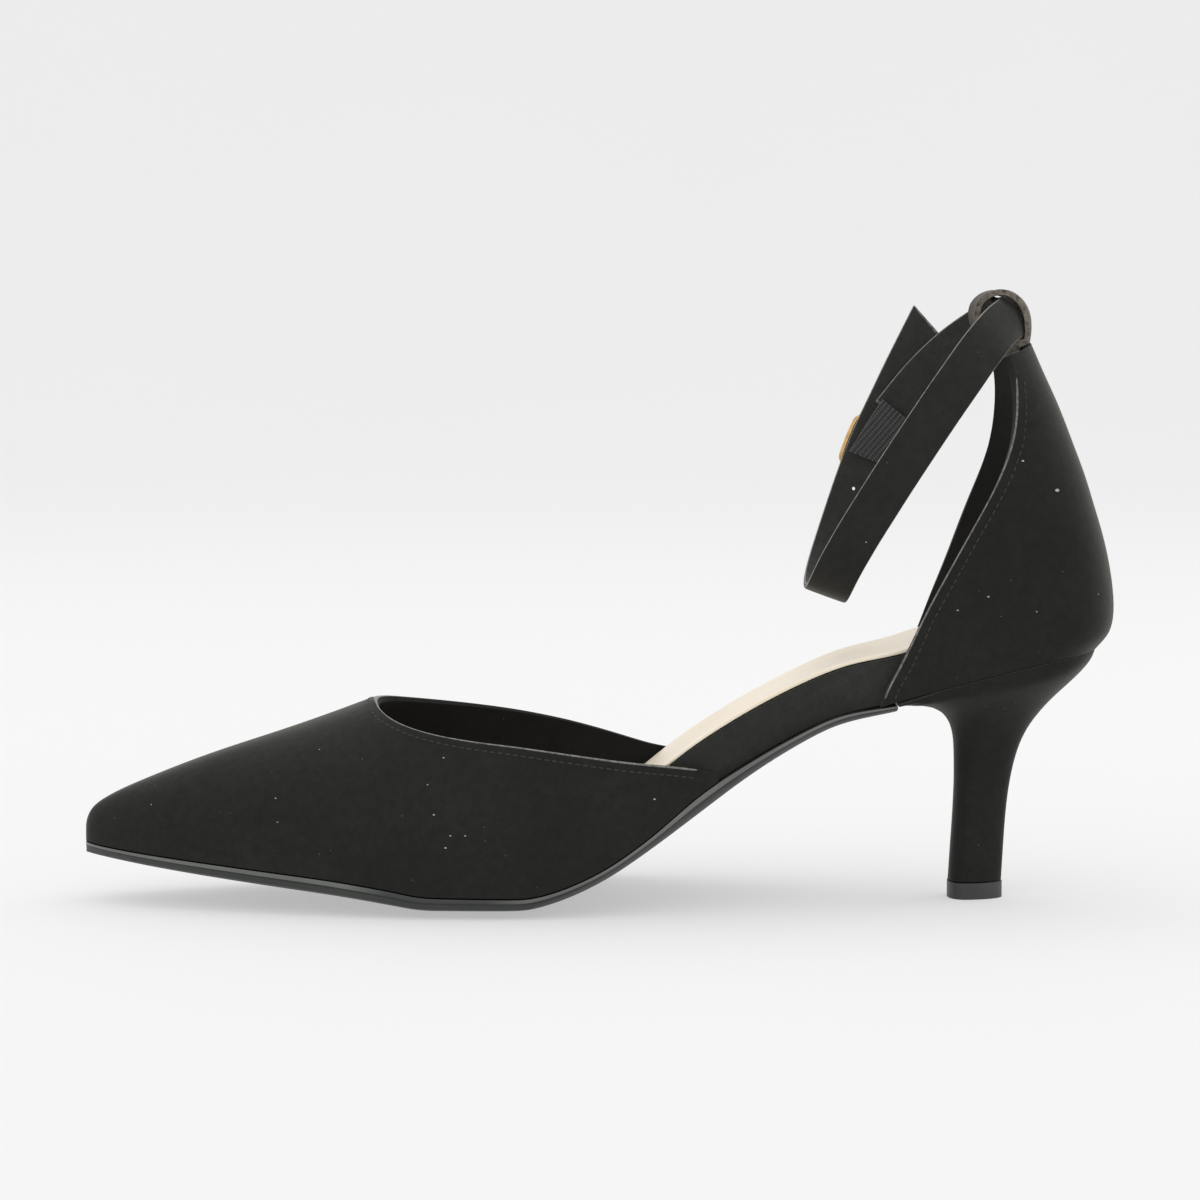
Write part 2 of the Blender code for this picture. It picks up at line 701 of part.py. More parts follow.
def quarter_point(side, level, share):
    """A point of the heel's wall: share 0 on the front edge, 1 on the back seam."""
    back = quarter_back(level)
    shift = FOOTPRINT_END - back
    front = turn_of(quarter_front[side](level) + shift)
    station = station_of(mix(front, 1.0, share))
    y = footprint_centre(station) + SIDES[side] * footprint_half(station) * quarter_spread(level)
    x = x_at(station - shift)
    return Vector((x, BALL_HALF_WIDTH * y, quarter_height(x, level)))


def build_quarter():
    rings = []
    for row in QUARTER:
        level = row.station
        medial = [quarter_point("medial", level, share) for share in shares(QUARTER_RIBS)]
        lateral = [quarter_point("lateral", level, share) for share in shares(QUARTER_RIBS)]
        rings.append(medial + lateral[-2::-1])
    bm = bmesh.new()
    skin(bm, rings, closed=False)
    weld(bm)
    return wall_inwards(add_object("quarter", bm, SUEDE), QUARTER_WALL)


def tab_top():
    """The middle of the quarter's top edge, which carries the tunnel and so the strap."""
    return Vector((x_at(quarter_back(1.0)), 0.0, QUARTER_TOP))


def tab_bow(y):
    """How far forward the tab's top has curved at a distance from its middle."""
    reach = abs(y)
    last = quarter_point("medial", 1.0, 1.0)
    for share in shares(TAB_MEASURE_STEPS)[1:]:
        point = quarter_point("medial", 1.0, 1.0 - share)
        if abs(point.y) >= reach:
            between = (reach - abs(last.y)) / (abs(point.y) - abs(last.y))
            return tab_top().x - mix(last.x, point.x, between)
        last = point
    return tab_top().x - last.x


def tunnel_outline():
    """Points of the tunnel's ring seen from the side: an outer and an inner row."""
    centre = tab_top() + Vector((-TUNNEL_SET_BACK, 0.0, TUNNEL_RISE))
    outer, inner = [], []
    for share in shares(TUNNEL_POINTS):
        angle = mix(TUNNEL[0].angle, TUNNEL[-1].angle, share)
        ray = Vector((math.cos(math.radians(angle)), 0.0, math.sin(math.radians(angle))))
        radius = TUNNEL_RADIUS * tunnel_radius(angle)
        outer.append(centre + ray * radius)
        inner.append(centre + ray * (radius - TUNNEL_WALL))
    return outer, inner


def tunnel_leg():
    """Rows of (back, front) points of the leg that hangs inside the quarter from the ring's ends."""
    outer, _ = tunnel_outline()
    rows = [(outer[0], outer[-1])]
    for depth in TUNNEL_LEG_DEPTHS:
        low = outer[0].z - depth
        level = min((low - SEAT_HEIGHT) / (QUARTER_TOP - SEAT_HEIGHT), 1.0)
        back = x_at(quarter_back(level)) - TUNNEL_LEG_INSET
        rows.append((Vector((back, 0.0, low)), Vector((back - 2 * TUNNEL_WALL, 0.0, low))))
    return rows


def build_strap_loop():
    """The tab's folded strip: a tunnel for the strap and a leg stitched inside the quarter."""
    outer, inner = tunnel_outline()
    leg = tunnel_leg()
    points = outer + inner + [point for row in leg[1:] for point in row]
    last = len(outer) - 1
    cells = [(i, i + 1, last + 2 + i, last + 1 + i) for i in range(last)]
    cells.append((last, 0, last + 1, 2 * last + 1))
    back, front = 0, last
    for low in range(2 * (last + 1), len(points), 2):
        cells.append((back, front, low + 1, low))
        back, front = low, low + 1
    slices = []
    for share in shares(TUNNEL_SLICES):
        y = mix(-TUNNEL_HALF_LENGTH, TUNNEL_HALF_LENGTH, share)
        slices.append([Vector((point.x - tab_bow(y), y, point.z)) for point in points])
    bm = bmesh.new()
    prism(bm, cells, slices)
    weld(bm)
    return add_object("strap_loop", bm, SUEDE)


def strap_frame(station):
    """The strap's middle, its direction, its width's direction and its outward face there."""
    start = tab_top() + Vector((-STRAP_SET_BACK, 0.0, STRAP_RISE))

    def middle(at):
        return start + Vector((-STRAP_REACH * strap_reach(at), STRAP_SPREAD * strap_side(at),
                               -STRAP_DROP * strap_drop(at)))

    low, high = max(station - SLOPE_STEP, 0.0), min(station + SLOPE_STEP, 1.0)
    along = (middle(high) - middle(low)).normalized()
    lean = math.radians(strap_lean(station))
    across = Vector((math.cos(lean), 0.0, -math.sin(lean)))
    across = (across - along * across.dot(along)).normalized()
    return middle(station), along, across, along.cross(across).normalized()


def strap_stations():
    """Steps of even length along the strap."""
    steps = shares(MEASURE_STEPS)
    fine = [strap_frame(share)[0] for share in steps]
    run = [0.0]
    for one, other in zip(fine, fine[1:]):
        run.append(run[-1] + (other - one).length)
    return [float(np.interp(run[-1] * share, run, steps)) for share in shares(STRAP_STEPS)]


def ribbon_ring(middle, across, outward, width, thickness):
    """The outline across a ribbon, with softened edges."""
    edge, flat = across * width / 2, outward * thickness / 2
    inner_edge, soft_flat = edge * RIBBON_FLAT, flat * RIBBON_SOFTNESS
    return [
        middle - edge - soft_flat, middle - inner_edge - flat,
        middle + inner_edge - flat, middle + edge - soft_flat,
        middle + edge + soft_flat, middle + inner_edge + flat,
        middle - inner_edge + flat, middle - edge + soft_flat,
    ]


def build_ribbon(name, rings, finish):
    bm = bmesh.new()
    made = skin(bm, rings, closed=True)
    bm.faces.new(made[0])
    bm.faces.new(made[-1])
    weld(bm)
    return add_object(name, bm, finish, sharp_degrees=50)


def tail_cut(ring, station, middle, along, across):
    """Draws the ribbon's rear edge back towards its free end, so that the end is cut at a slant."""
    slant = TAIL_SLANT * max(station - TAIL_START, 0.0) / (1 - TAIL_START)
    share = [0.5 + (point - middle).dot(across) / STRAP_WIDTH for point in ring]
    return [point - along * slant * part for point, part in zip(ring, share)]


def build_ankle_strap():
    rings = []
    for station in strap_stations():
        middle, along, across, outward = strap_frame(station)
        ring = ribbon_ring(middle, across, outward, STRAP_WIDTH, STRAP_THICKNESS)
        rings.append(tail_cut(ring, station, middle, along, across))
    return build_ribbon("ankle_strap", rings, SUEDE)


def buckle_frame():
    """Where the buckle sits: on the outer face of the strap, in line with it."""
    middle, along, across, outward = strap_frame(BUCKLE_STATION)
    if outward.y < 0:
        outward = -outward
    return middle, along, across, outward


def build_elastic():
    """The short stretch band from the strap's short end down to the buckle's bar."""
    lapped = []
    under = STRAP_THICKNESS / 2 + GAP + ELASTIC_THICKNESS / 2
    for station in (ELASTIC_LAP, 0.0):
        middle, _, across, outward = strap_frame(station)
        outward = outward if outward.y > 0 else -outward
        lapped.append((middle - outward * under, across, outward))
    middle, along, across, outward = buckle_frame()
    low = middle - along * BUCKLE_LENGTH * ELASTIC_SEAT - outward * under
    rings = []
    start, wide, out = lapped[0]
    rings.append(ribbon_ring(start, wide, out, ELASTIC_WIDTH, ELASTIC_THICKNESS))
    for share in shares(ELASTIC_STEPS):
        ease = share * share * (3 - 2 * share)
        spot = lapped[1][0].lerp(low, share)
        wide = lapped[1][1].lerp(across, ease).normalized()
        out = lapped[1][2].lerp(outward, ease).normalized()
        rings.append(ribbon_ring(spot, wide, out, ELASTIC_WIDTH, ELASTIC_THICKNESS))
    return build_ribbon("elastic", rings, ELASTIC_WEAVE)


def wire_ring(name, points, radius, finish, closed):
    """A round wire through points, as a curve with a bevel."""
    curve = bpy.data.curves.new(name, "CURVE")
    curve.dimensions = "3D"
    curve.bevel_depth = radius
    curve.bevel_resolution = WIRE_ROUNDING
    curve.use_fill_caps = True
    line = curve.splines.new("POLY")
    line.points.add(len(points) - 1)
    for spot, point in zip(line.points, points):
        spot.co = (*point, 1.0)
    line.use_cyclic_u = closed
    line.use_smooth = True
    curve.materials.append(material_of(finish))
    made = bpy.data.objects.new(name, curve)
    bpy.context.scene.collection.objects.link(made)
    return made


def build_buckle():
    """A rectangular wire frame round the strap, standing off its outer face."""
    middle, along, across, outward = buckle_frame()
    centre = middle + outward * (STRAP_THICKNESS / 2 + BUCKLE_WIRE + GAP)
    centre += across * BUCKLE_SHIFT
    long_side = BUCKLE_LENGTH / 2 - BUCKLE_CORNER
    wide_side = BUCKLE_HALF_WIDTH - BUCKLE_CORNER
    points = []
    for quarter, (x_side, y_side) in enumerate(((1, 1), (-1, 1), (-1, -1), (1, -1))):
        for share in shares(CORNER_STEPS):
            angle = math.radians(90 * (quarter + share))
            x = x_side * long_side + BUCKLE_CORNER * math.cos(angle)
            y = y_side * wide_side + BUCKLE_CORNER * math.sin(angle)
            points.append(centre + along * x + across * y)
    wire_ring("buckle", points, BUCKLE_WIRE, GOLD_METAL, closed=True)
    inside = BUCKLE_LENGTH / 2 - BUCKLE_WIRE - PRONG_WIRE - GAP
    reach = [-inside, inside]
    lift = outward * (BUCKLE_WIRE - PRONG_WIRE)
    prong = [centre - lift + along * x for x in reach]
    wire_ring("buckle_prong", prong, PRONG_WIRE, GOLD_METAL, closed=False)


def clear_scene():
    for item in list(bpy.data.objects):
        bpy.data.objects.remove(item, do_unlink=True)


def centre_over_floor():
    """Moves the shoe sideways so that its origin is under the middle of its box."""
    bpy.context.view_layer.update()
    depsgraph = bpy.context.evaluated_depsgraph_get()
    low, high = math.inf, -math.inf
    for item in bpy.context.scene.objects:
        shape = item.evaluated_get(depsgraph)
        mesh = shape.to_mesh()
        across = [vert.co.y for vert in mesh.vertices]
        low, high = min(low, *across), max(high, *across)
        shape.to_mesh_clear()
    for item in bpy.context.scene.objects:
        item.location.y = -(low + high) / 2


def main():
    clear_scene()
    build_outsole()
    build_heel()
    build_top_lift()
    build_insole_board()
    build_insole()
    build_vamp()
    build_quarter()
    build_strap_loop()
    build_ankle_strap()
    build_elastic()
    build_buckle()
    centre_over_floor()


main()
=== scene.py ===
"""Looks of a right dorsay pump in black suede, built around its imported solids.

Lengths are in metres. X runs from the toe to the heel, Y from the inner side of the foot, which
faces the camera, to the outer side, and Z up from the floor.
"""

import json
import logging
import math
from collections.abc import Callable, Iterator, Sequence
from contextlib import contextmanager
from dataclasses import dataclass
from enum import Enum

import bpy
from mathutils import Matrix, Vector
from mathutils.bvhtree import BVHTree

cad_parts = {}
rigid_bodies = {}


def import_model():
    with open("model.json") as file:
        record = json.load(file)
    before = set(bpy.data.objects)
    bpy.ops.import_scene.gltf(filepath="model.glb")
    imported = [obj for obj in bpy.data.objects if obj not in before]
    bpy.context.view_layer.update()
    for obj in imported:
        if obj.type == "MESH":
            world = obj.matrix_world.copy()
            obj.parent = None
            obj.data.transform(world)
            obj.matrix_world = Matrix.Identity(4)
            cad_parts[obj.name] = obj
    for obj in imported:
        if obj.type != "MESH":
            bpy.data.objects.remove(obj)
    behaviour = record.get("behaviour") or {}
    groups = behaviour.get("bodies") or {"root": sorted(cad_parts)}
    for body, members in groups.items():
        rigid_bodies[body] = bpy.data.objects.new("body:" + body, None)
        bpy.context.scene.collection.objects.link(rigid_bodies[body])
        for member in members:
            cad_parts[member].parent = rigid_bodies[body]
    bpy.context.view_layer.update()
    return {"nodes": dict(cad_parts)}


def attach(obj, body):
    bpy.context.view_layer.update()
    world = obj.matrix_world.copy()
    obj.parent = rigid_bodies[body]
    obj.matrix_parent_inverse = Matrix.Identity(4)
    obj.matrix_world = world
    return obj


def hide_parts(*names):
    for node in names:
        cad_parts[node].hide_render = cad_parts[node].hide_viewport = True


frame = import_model()
BODY = "root"
WELD_DISTANCE = 0.00002
LEAST_STEP = 1e-9
LEAST_FOLD_REACH = 0.015
EDGE_SEGMENTS = 2
OWN_MATERIAL = -1

log = logging.getLogger("dorsay_pump")


class Slot(Enum):
    """Material slots of the record."""

    SUEDE = "black_suede"
    SOCK = "cream_leather"
    SOLE = "sole_rubber"
    LIFT = "lift_rubber"
    ELASTIC = "black_elastic"
    METAL = "gold_metal"


class Place(Enum):
    """Where a material goes on a piece of the upper."""

    OUTSIDE = 0
    EDGE = 1
    INSIDE = 2


# Shader graphs


class Graph:
    """A short way to build a node tree."""

    def __init__(self, tree: bpy.types.NodeTree) -> None:
        """Keeps the tree that nodes are added to.

        Args:
            tree: The node tree of a material or a node group.
        """
        self.tree = tree
        self.count = 0

    def node(self, kind: str, inputs: dict | None = None, **settings: object) -> bpy.types.Node:
        """Adds a node.

        Args:
            kind: The node's type name.
            inputs: Socket names or numbers, each with a value or with a socket to link from.
            settings: Properties of the node.

        Returns:
            The new node.
        """
        made = self.tree.nodes.new(kind)
        made.location = (self.count % 8 * 200, -(self.count // 8) * 300)
        self.count += 1
        for key, value in settings.items():
            setattr(made, key, value)
        for key, value in (inputs or {}).items():
            if isinstance(value, bpy.types.NodeSocket):
                self.tree.links.new(value, made.inputs[key])
            else:
                made.inputs[key].default_value = value
        return made

    def maths(self, operation: str, *values: object, clamp: bool = False) -> bpy.types.NodeSocket:
        """Adds a Math node.

        Args:
            operation: The operation's name.
            values: Numbers or sockets.
            clamp: Whether the result is kept between 0 and 1.

        Returns:
            The result's socket.
        """
        inputs = dict(enumerate(values))
        return self.node("ShaderNodeMath", inputs, operation=operation, use_clamp=clamp).outputs[0]

    def ramp(self, value: bpy.types.NodeSocket, low: float, high: float,
             to_low: float = 0.0, to_high: float = 1.0) -> bpy.types.NodeSocket:
        """Maps a range to another, kept within its ends.

        Args:
            value: The socket to map.
            low: The value that gives to_low.
            high: The value that gives to_high.
            to_low: The result at low.
            to_high: The result at high.

        Returns:
            The result's socket.
        """
        inputs = {0: value, 1: low, 2: high, 3: to_low, 4: to_high}
        return self.node("ShaderNodeMapRange", inputs, clamp=True).outputs[0]

    def blend(self, share: object, first: object, second: object,
              mode: str = "MIX") -> bpy.types.NodeSocket:
        """Mixes two colours.

        Args:
            share: How much of the second colour there is.
            first: A colour or a socket.
            second: A colour or a socket.
            mode: The blend type's name.

        Returns:
            The mixed colour's socket.
        """
        inputs = {0: share, 6: first, 7: second}
        made = self.node("ShaderNodeMix", inputs, data_type="RGBA", blend_type=mode)
        return made.outputs[2]

    def noise(self, vector: bpy.types.NodeSocket, scale: object, detail: float = 3.0,
              roughness: float = 0.55) -> bpy.types.NodeSocket:
        """Adds a noise texture.

        Args:
            vector: Where it is read.
            scale: Its scale, per metre.
            detail: How many octaves it has.
            roughness: How strong the finer octaves are.

        Returns:
            The noise value's socket.
        """
        inputs = {"Vector": vector, "Scale": scale, "Detail": detail, "Roughness": roughness}
        return self.node("ShaderNodeTexNoise", inputs).outputs["Fac"]


def rgba(colour: Sequence[float]) -> tuple[float, float, float, float]:
    """Returns a colour with full alpha."""
    return (colour[0], colour[1], colour[2], 1.0)


def new_group(name: str, inputs: Sequence[tuple[str, str, object]],
              outputs: Sequence[tuple[str, str]]) -> tuple[Graph, bpy.types.Node, bpy.types.Node]:
    """Starts a shader node group with named sockets.

    Args:
        name: The group's name.
        inputs: Name, socket type and default value of each input.
        outputs: Name and socket type of each output.

    Returns:
        The group's graph, its input node and its output node.
    """
    tree = bpy.data.node_groups.new(name, "ShaderNodeTree")
    for label, kind, value in inputs:
        socket = tree.interface.new_socket(label, in_out="INPUT", socket_type=kind)
        socket.default_value = value
    for label, kind in outputs:
        tree.interface.new_socket(label, in_out="OUTPUT", socket_type=kind)
    graph = Graph(tree)
    return graph, graph.node("NodeGroupInput"), graph.node("NodeGroupOutput")


FLOAT = "NodeSocketFloat"
COLOUR = "NodeSocketColor"
VECTOR = "NodeSocketVector"


def nap_group() -> bpy.types.NodeTree:
    """Suede nap: broad lighter areas, soft brushed patches, short fibres and a fine relief.

    Returns:
        The group's node tree.
    """
    graph, given, result = new_group(
        "suede_nap",
        (("Vector", VECTOR, (0.0, 0.0, 0.0)), ("Base", COLOUR, (0.02, 0.02, 0.02, 1.0)),
         ("Brushed", COLOUR, (0.05, 0.05, 0.05, 1.0)), ("Patches", FLOAT, 160.0),
         ("Fibres", FLOAT, 2600.0), ("Areas", FLOAT, 28.0), ("Strength", FLOAT, 0.5)),
        (("Color", COLOUR), ("Roughness", FLOAT), ("Height", FLOAT)))
    at = given.outputs["Vector"]
    patches = graph.noise(at, given.outputs["Patches"], 5.0, 0.65)
    fibres = graph.noise(at, given.outputs["Fibres"], 3.0, 0.7)
    grain = graph.noise(at, graph.maths("MULTIPLY", given.outputs["Fibres"], 0.3), 2.0, 0.5)
    soft = graph.ramp(patches, 0.22, 0.80)
    fine = graph.ramp(fibres, 0.30, 0.75)
    broad = graph.ramp(graph.noise(at, given.outputs["Areas"], 2.0, 0.5), 0.36, 0.64, 0.65, 1.35)
    strength = graph.maths("MULTIPLY", given.outputs["Strength"], broad)
    mixed = graph.maths("ADD", graph.maths("MULTIPLY", soft, 0.55),
                        graph.maths("MULTIPLY", fine, 0.45))
    share = graph.maths("MULTIPLY", strength, mixed)
    colour = graph.blend(share, given.outputs["Base"], given.outputs["Brushed"])
    rough = graph.ramp(patches, 0.3, 0.7, 0.98, 0.86)
    height = graph.maths("ADD", graph.maths("MULTIPLY", fibres, 0.6),
                         graph.maths("MULTIPLY", grain, 0.4))
    graph.tree.links.new(colour, result.inputs["Color"])
    graph.tree.links.new(rough, result.inputs["Roughness"])
    graph.tree.links.new(height, result.inputs["Height"])
    return graph.tree


def dust_group() -> bpy.types.NodeTree:
    """Sparse pale specks of dust and lint.

    Returns:
        The group's node tree.
    """
    graph, given, result = new_group(
        "dust",
        (("Vector", VECTOR, (0.0, 0.0, 0.0)), ("Base", COLOUR, (0.02, 0.02, 0.02, 1.0)),
         ("Dust", COLOUR, (0.085, 0.083, 0.076, 1.0)), ("Scale", FLOAT, 420.0),
         ("Radius", FLOAT, 0.08), ("Rarity", FLOAT, 0.6)),
        (("Color", COLOUR), ("Mask", FLOAT)))
    inputs = {"Vector": given.outputs["Vector"], "Scale": given.outputs["Scale"]}
    cells = graph.node("ShaderNodeTexVoronoi", inputs)
    edge = graph.maths("MULTIPLY", given.outputs["Radius"], 0.6)
    spot = graph.node("ShaderNodeMapRange", {0: cells.outputs["Distance"], 1: edge,
                                             2: given.outputs["Radius"], 3: 1.0, 4: 0.0})
    chance = graph.node("ShaderNodeSeparateColor", {0: cells.outputs["Color"]}).outputs[0]
    kept = graph.maths("GREATER_THAN", chance, given.outputs["Rarity"])
    mask = graph.maths("MULTIPLY", spot.outputs[0], kept, clamp=True)
    graph.tree.links.new(graph.blend(mask, given.outputs["Base"], given.outputs["Dust"]),
                         result.inputs["Color"])
    graph.tree.links.new(mask, result.inputs["Mask"])
    return graph.tree


def grain_group() -> bpy.types.NodeTree:
    """Fine grain of smooth leather or moulded rubber, with faint cloudy tones.

    Returns:
        The group's node tree.
    """
    graph, given, result = new_group(
        "fine_grain",
        (("Vector", VECTOR, (0.0, 0.0, 0.0)), ("Base", COLOUR, (0.5, 0.4, 0.3, 1.0)),
         ("Tone", COLOUR, (0.6, 0.5, 0.4, 1.0)), ("Clouds", FLOAT, 60.0),
         ("Grain", FLOAT, 1800.0), ("Smooth", FLOAT, 0.3), ("Dull", FLOAT, 0.45)),
        (("Color", COLOUR), ("Roughness", FLOAT), ("Height", FLOAT)))
    at = given.outputs["Vector"]
    clouds = graph.noise(at, given.outputs["Clouds"], 3.0, 0.5)
    grain = graph.noise(at, given.outputs["Grain"], 3.0, 0.6)
    cells = graph.node("ShaderNodeTexVoronoi", {"Vector": at, "Scale": given.outputs["Grain"]},
                       feature="SMOOTH_F1")
    colour = graph.blend(graph.ramp(clouds, 0.35, 0.65), given.outputs["Base"],
                         given.outputs["Tone"])
    share = graph.ramp(grain, 0.35, 0.7)
    rough = graph.node("ShaderNodeMapRange", {0: share, 1: 0.0, 2: 1.0,
                                              3: given.outputs["Smooth"],
                                              4: given.outputs["Dull"]})
    height = graph.maths("ADD", graph.maths("MULTIPLY", grain, 0.5),
                         graph.maths("MULTIPLY", cells.outputs["Distance"], 0.5))
    graph.tree.links.new(colour, result.inputs["Color"])
    graph.tree.links.new(rough.outputs[0], result.inputs["Roughness"])
    graph.tree.links.new(height, result.inputs["Height"])
    return graph.tree


class Groups:
    """The shared node groups, each made when it is first asked for."""

    makers: dict[str, Callable[[], bpy.types.NodeTree]] = {
        "suede_nap": nap_group, "dust": dust_group, "fine_grain": grain_group}

    @classmethod
    def get(cls, name: str) -> bpy.types.NodeTree:
        """Returns the group of that name."""
        return bpy.data.node_groups.get(name) or cls.makers[name]()


def new_material(name: str) -> tuple[bpy.types.Material, Graph, bpy.types.Node]:
    """Starts a material.

    Args:
        name: The material's name.

    Returns:
        The material, its graph and its Principled shader.
    """
    made = bpy.data.materials.new(name)
    made.use_nodes = True
    return made, Graph(made.node_tree), made.node_tree.nodes["Principled BSDF"]


def object_place(graph: Graph) -> bpy.types.NodeSocket:
    """Returns the Object coordinates' socket."""
    return graph.node("ShaderNodeTexCoord").outputs["Object"]


def relief(graph: Graph, shader: bpy.types.Node, height: bpy.types.NodeSocket,
           depth: float, strength: float) -> None:
    """Feeds a height into the shader's normal.

    Args:
        graph: The material's graph.
        shader: Its Principled shader.
        height: The height's socket, between 0 and 1.
        depth: The depth of the relief, in metres.
        strength: How strongly it shows.
    """
    bump = graph.node("ShaderNodeBump", {"Height": height, "Distance": depth,
                                         "Strength": strength})
    graph.tree.links.new(bump.outputs[0], shader.inputs["Normal"])


@dataclass(frozen=True)
class Finish:
    """What every finish has: a name, and a material that is made once."""

    name: str

    def build(self) -> bpy.types.Material:
        """Returns the finish's material, made when it is first asked for."""
        return bpy.data.materials.get(self.name) or self.make()

    def make(self) -> bpy.types.Material:
        """Makes the material; each kind of finish has its own way."""
        raise NotImplementedError


@dataclass(frozen=True)
class SuedeFinish(Finish):
    """Suede with a brushed nap."""

    base: tuple[float, float, float]
    brushed: tuple[float, float, float]
    strength: float = 0.6
    patches: float = 420.0
    fibres: float = 2600.0
    sheen: float = 0.23
    sheen_roughness: float = 0.32
    sheen_tint: tuple[float, float, float] = (1.0, 0.97, 0.89)
    specular: float = 0.15
    depth: float = 0.00012
    bump: float = 0.7
    dust: float = 0.80
    offset: tuple[float, float, float] = (0.0, 0.0, 0.0)

    def make(self) -> bpy.types.Material:
        """Makes the suede's material.

        Returns:
            The new material.
        """
        made, graph, shader = new_material(self.name)
        moved = graph.node("ShaderNodeMapping", {"Vector": object_place(graph),
                                                 "Location": self.offset})
        at = moved.outputs[0]
        nap = graph.node("ShaderNodeGroup", node_tree=Groups.get("suede_nap"))
        graph.tree.links.new(at, nap.inputs["Vector"])
        values = {"Base": rgba(self.base), "Brushed": rgba(self.brushed),
                  "Patches": self.patches, "Fibres": self.fibres, "Strength": self.strength}
        for key, value in values.items():
            nap.inputs[key].default_value = value
        dust = graph.node("ShaderNodeGroup", node_tree=Groups.get("dust"))
        graph.tree.links.new(at, dust.inputs["Vector"])
        graph.tree.links.new(nap.outputs["Color"], dust.inputs["Base"])
        dust.inputs["Rarity"].default_value = self.dust
        graph.tree.links.new(dust.outputs["Color"], shader.inputs["Base Color"])
        graph.tree.links.new(nap.outputs["Roughness"], shader.inputs["Roughness"])
        shader.inputs["Specular IOR Level"].default_value = self.specular
        shader.inputs["Sheen Weight"].default_value = self.sheen
        shader.inputs["Sheen Roughness"].default_value = self.sheen_roughness
        shader.inputs["Sheen Tint"].default_value = rgba(self.sheen_tint)
        relief(graph, shader, nap.outputs["Height"], self.depth, self.bump)
        return made


@dataclass(frozen=True)
class GrainFinish(Finish):
    """Smooth leather or moulded rubber with a fine grain."""

    base: tuple[float, float, float]
    tone: tuple[float, float, float]
    clouds: float = 50.0
    grain: float = 1600.0
    smooth: float = 0.34
    dull: float = 0.48
    depth: float = 0.00004
    bump: float = 0.6
    coat: float = 0.0
    coat_roughness: float = 0.3
    specular: float = 0.5

    def make(self) -> bpy.types.Material:
        """Makes the leather's or rubber's material.

        Returns:
            The new material.
        """
        made, graph, shader = new_material(self.name)
        grain = graph.node("ShaderNodeGroup", node_tree=Groups.get("fine_grain"))
        graph.tree.links.new(object_place(graph), grain.inputs["Vector"])
        values = {"Base": rgba(self.base), "Tone": rgba(self.tone), "Clouds": self.clouds,
                  "Grain": self.grain, "Smooth": self.smooth, "Dull": self.dull}
        for key, value in values.items():
            grain.inputs[key].default_value = value
        graph.tree.links.new(grain.outputs["Color"], shader.inputs["Base Color"])
        graph.tree.links.new(grain.outputs["Roughness"], shader.inputs["Roughness"])
        shader.inputs["Specular IOR Level"].default_value = self.specular
        shader.inputs["Coat Weight"].default_value = self.coat
        shader.inputs["Coat Roughness"].default_value = self.coat_roughness
        relief(graph, shader, grain.outputs["Height"], self.depth, self.bump)
        return made


@dataclass(frozen=True)
class LipPaintedLightFinish(GrainFinish):
    """The outsole's lip: pale as a painted highlight, dark along the ball as painted shade, where it
    meets the floor.
    """

    # dark is painted shade along the ball, which ball_start, ball_end and fade place along X.
    dark: tuple[float, float, float] = (0.022, 0.025, 0.023)
    ball_start: float = -0.049
    ball_end: float = -0.026
    fade: float = 0.010

    def make(self) -> bpy.types.Material:
        """Makes the lip's material.

        Returns:
            The new material.
        """
        made = super().make()
        graph = Graph(made.node_tree)
        shader = made.node_tree.nodes["Principled BSDF"]
        plain = shader.inputs["Base Color"].links[0].from_socket
        along = graph.node("ShaderNodeSeparateXYZ", {0: object_place(graph)}).outputs[0]
        # The lip's colour turns to the painted shade between ball_start and ball_end.
        after = graph.ramp(along, self.ball_start - self.fade, self.ball_start)
        before = graph.ramp(along, self.ball_end, self.ball_end + self.fade, 1.0, 0.0)
        share = graph.maths("MULTIPLY", after, before)
        graph.tree.links.new(graph.blend(share, plain, rgba(self.dark)),
                             shader.inputs["Base Color"])
        return made


@dataclass(frozen=True)
class FuzzFinish(Finish):
    """A raw cut edge: pale fibres that break up along the edge."""

    dark: tuple[float, float, float]
    pale: tuple[float, float, float]
    scale: float = 900.0
    low: float = 0.34
    high: float = 0.56
    roughness: float = 0.95
    specular: float = 0.1
    sheen: float = 0.4
    depth: float = 0.0002
    bump: float = 0.8

    def make(self) -> bpy.types.Material:
        """Makes the raw edge's material.

        Returns:
            The new material.
        """
        made, graph, shader = new_material(self.name)
        at = object_place(graph)
        fibres = graph.noise(at, self.scale, 4.0, 0.7)
        share = graph.ramp(fibres, self.low, self.high)
        colour = graph.blend(share, rgba(self.dark), rgba(self.pale))
        graph.tree.links.new(colour, shader.inputs["Base Color"])
        shader.inputs["Roughness"].default_value = self.roughness
        shader.inputs["Specular IOR Level"].default_value = self.specular
        shader.inputs["Sheen Weight"].default_value = self.sheen
        relief(graph, shader, fibres, self.depth, self.bump)
        return made


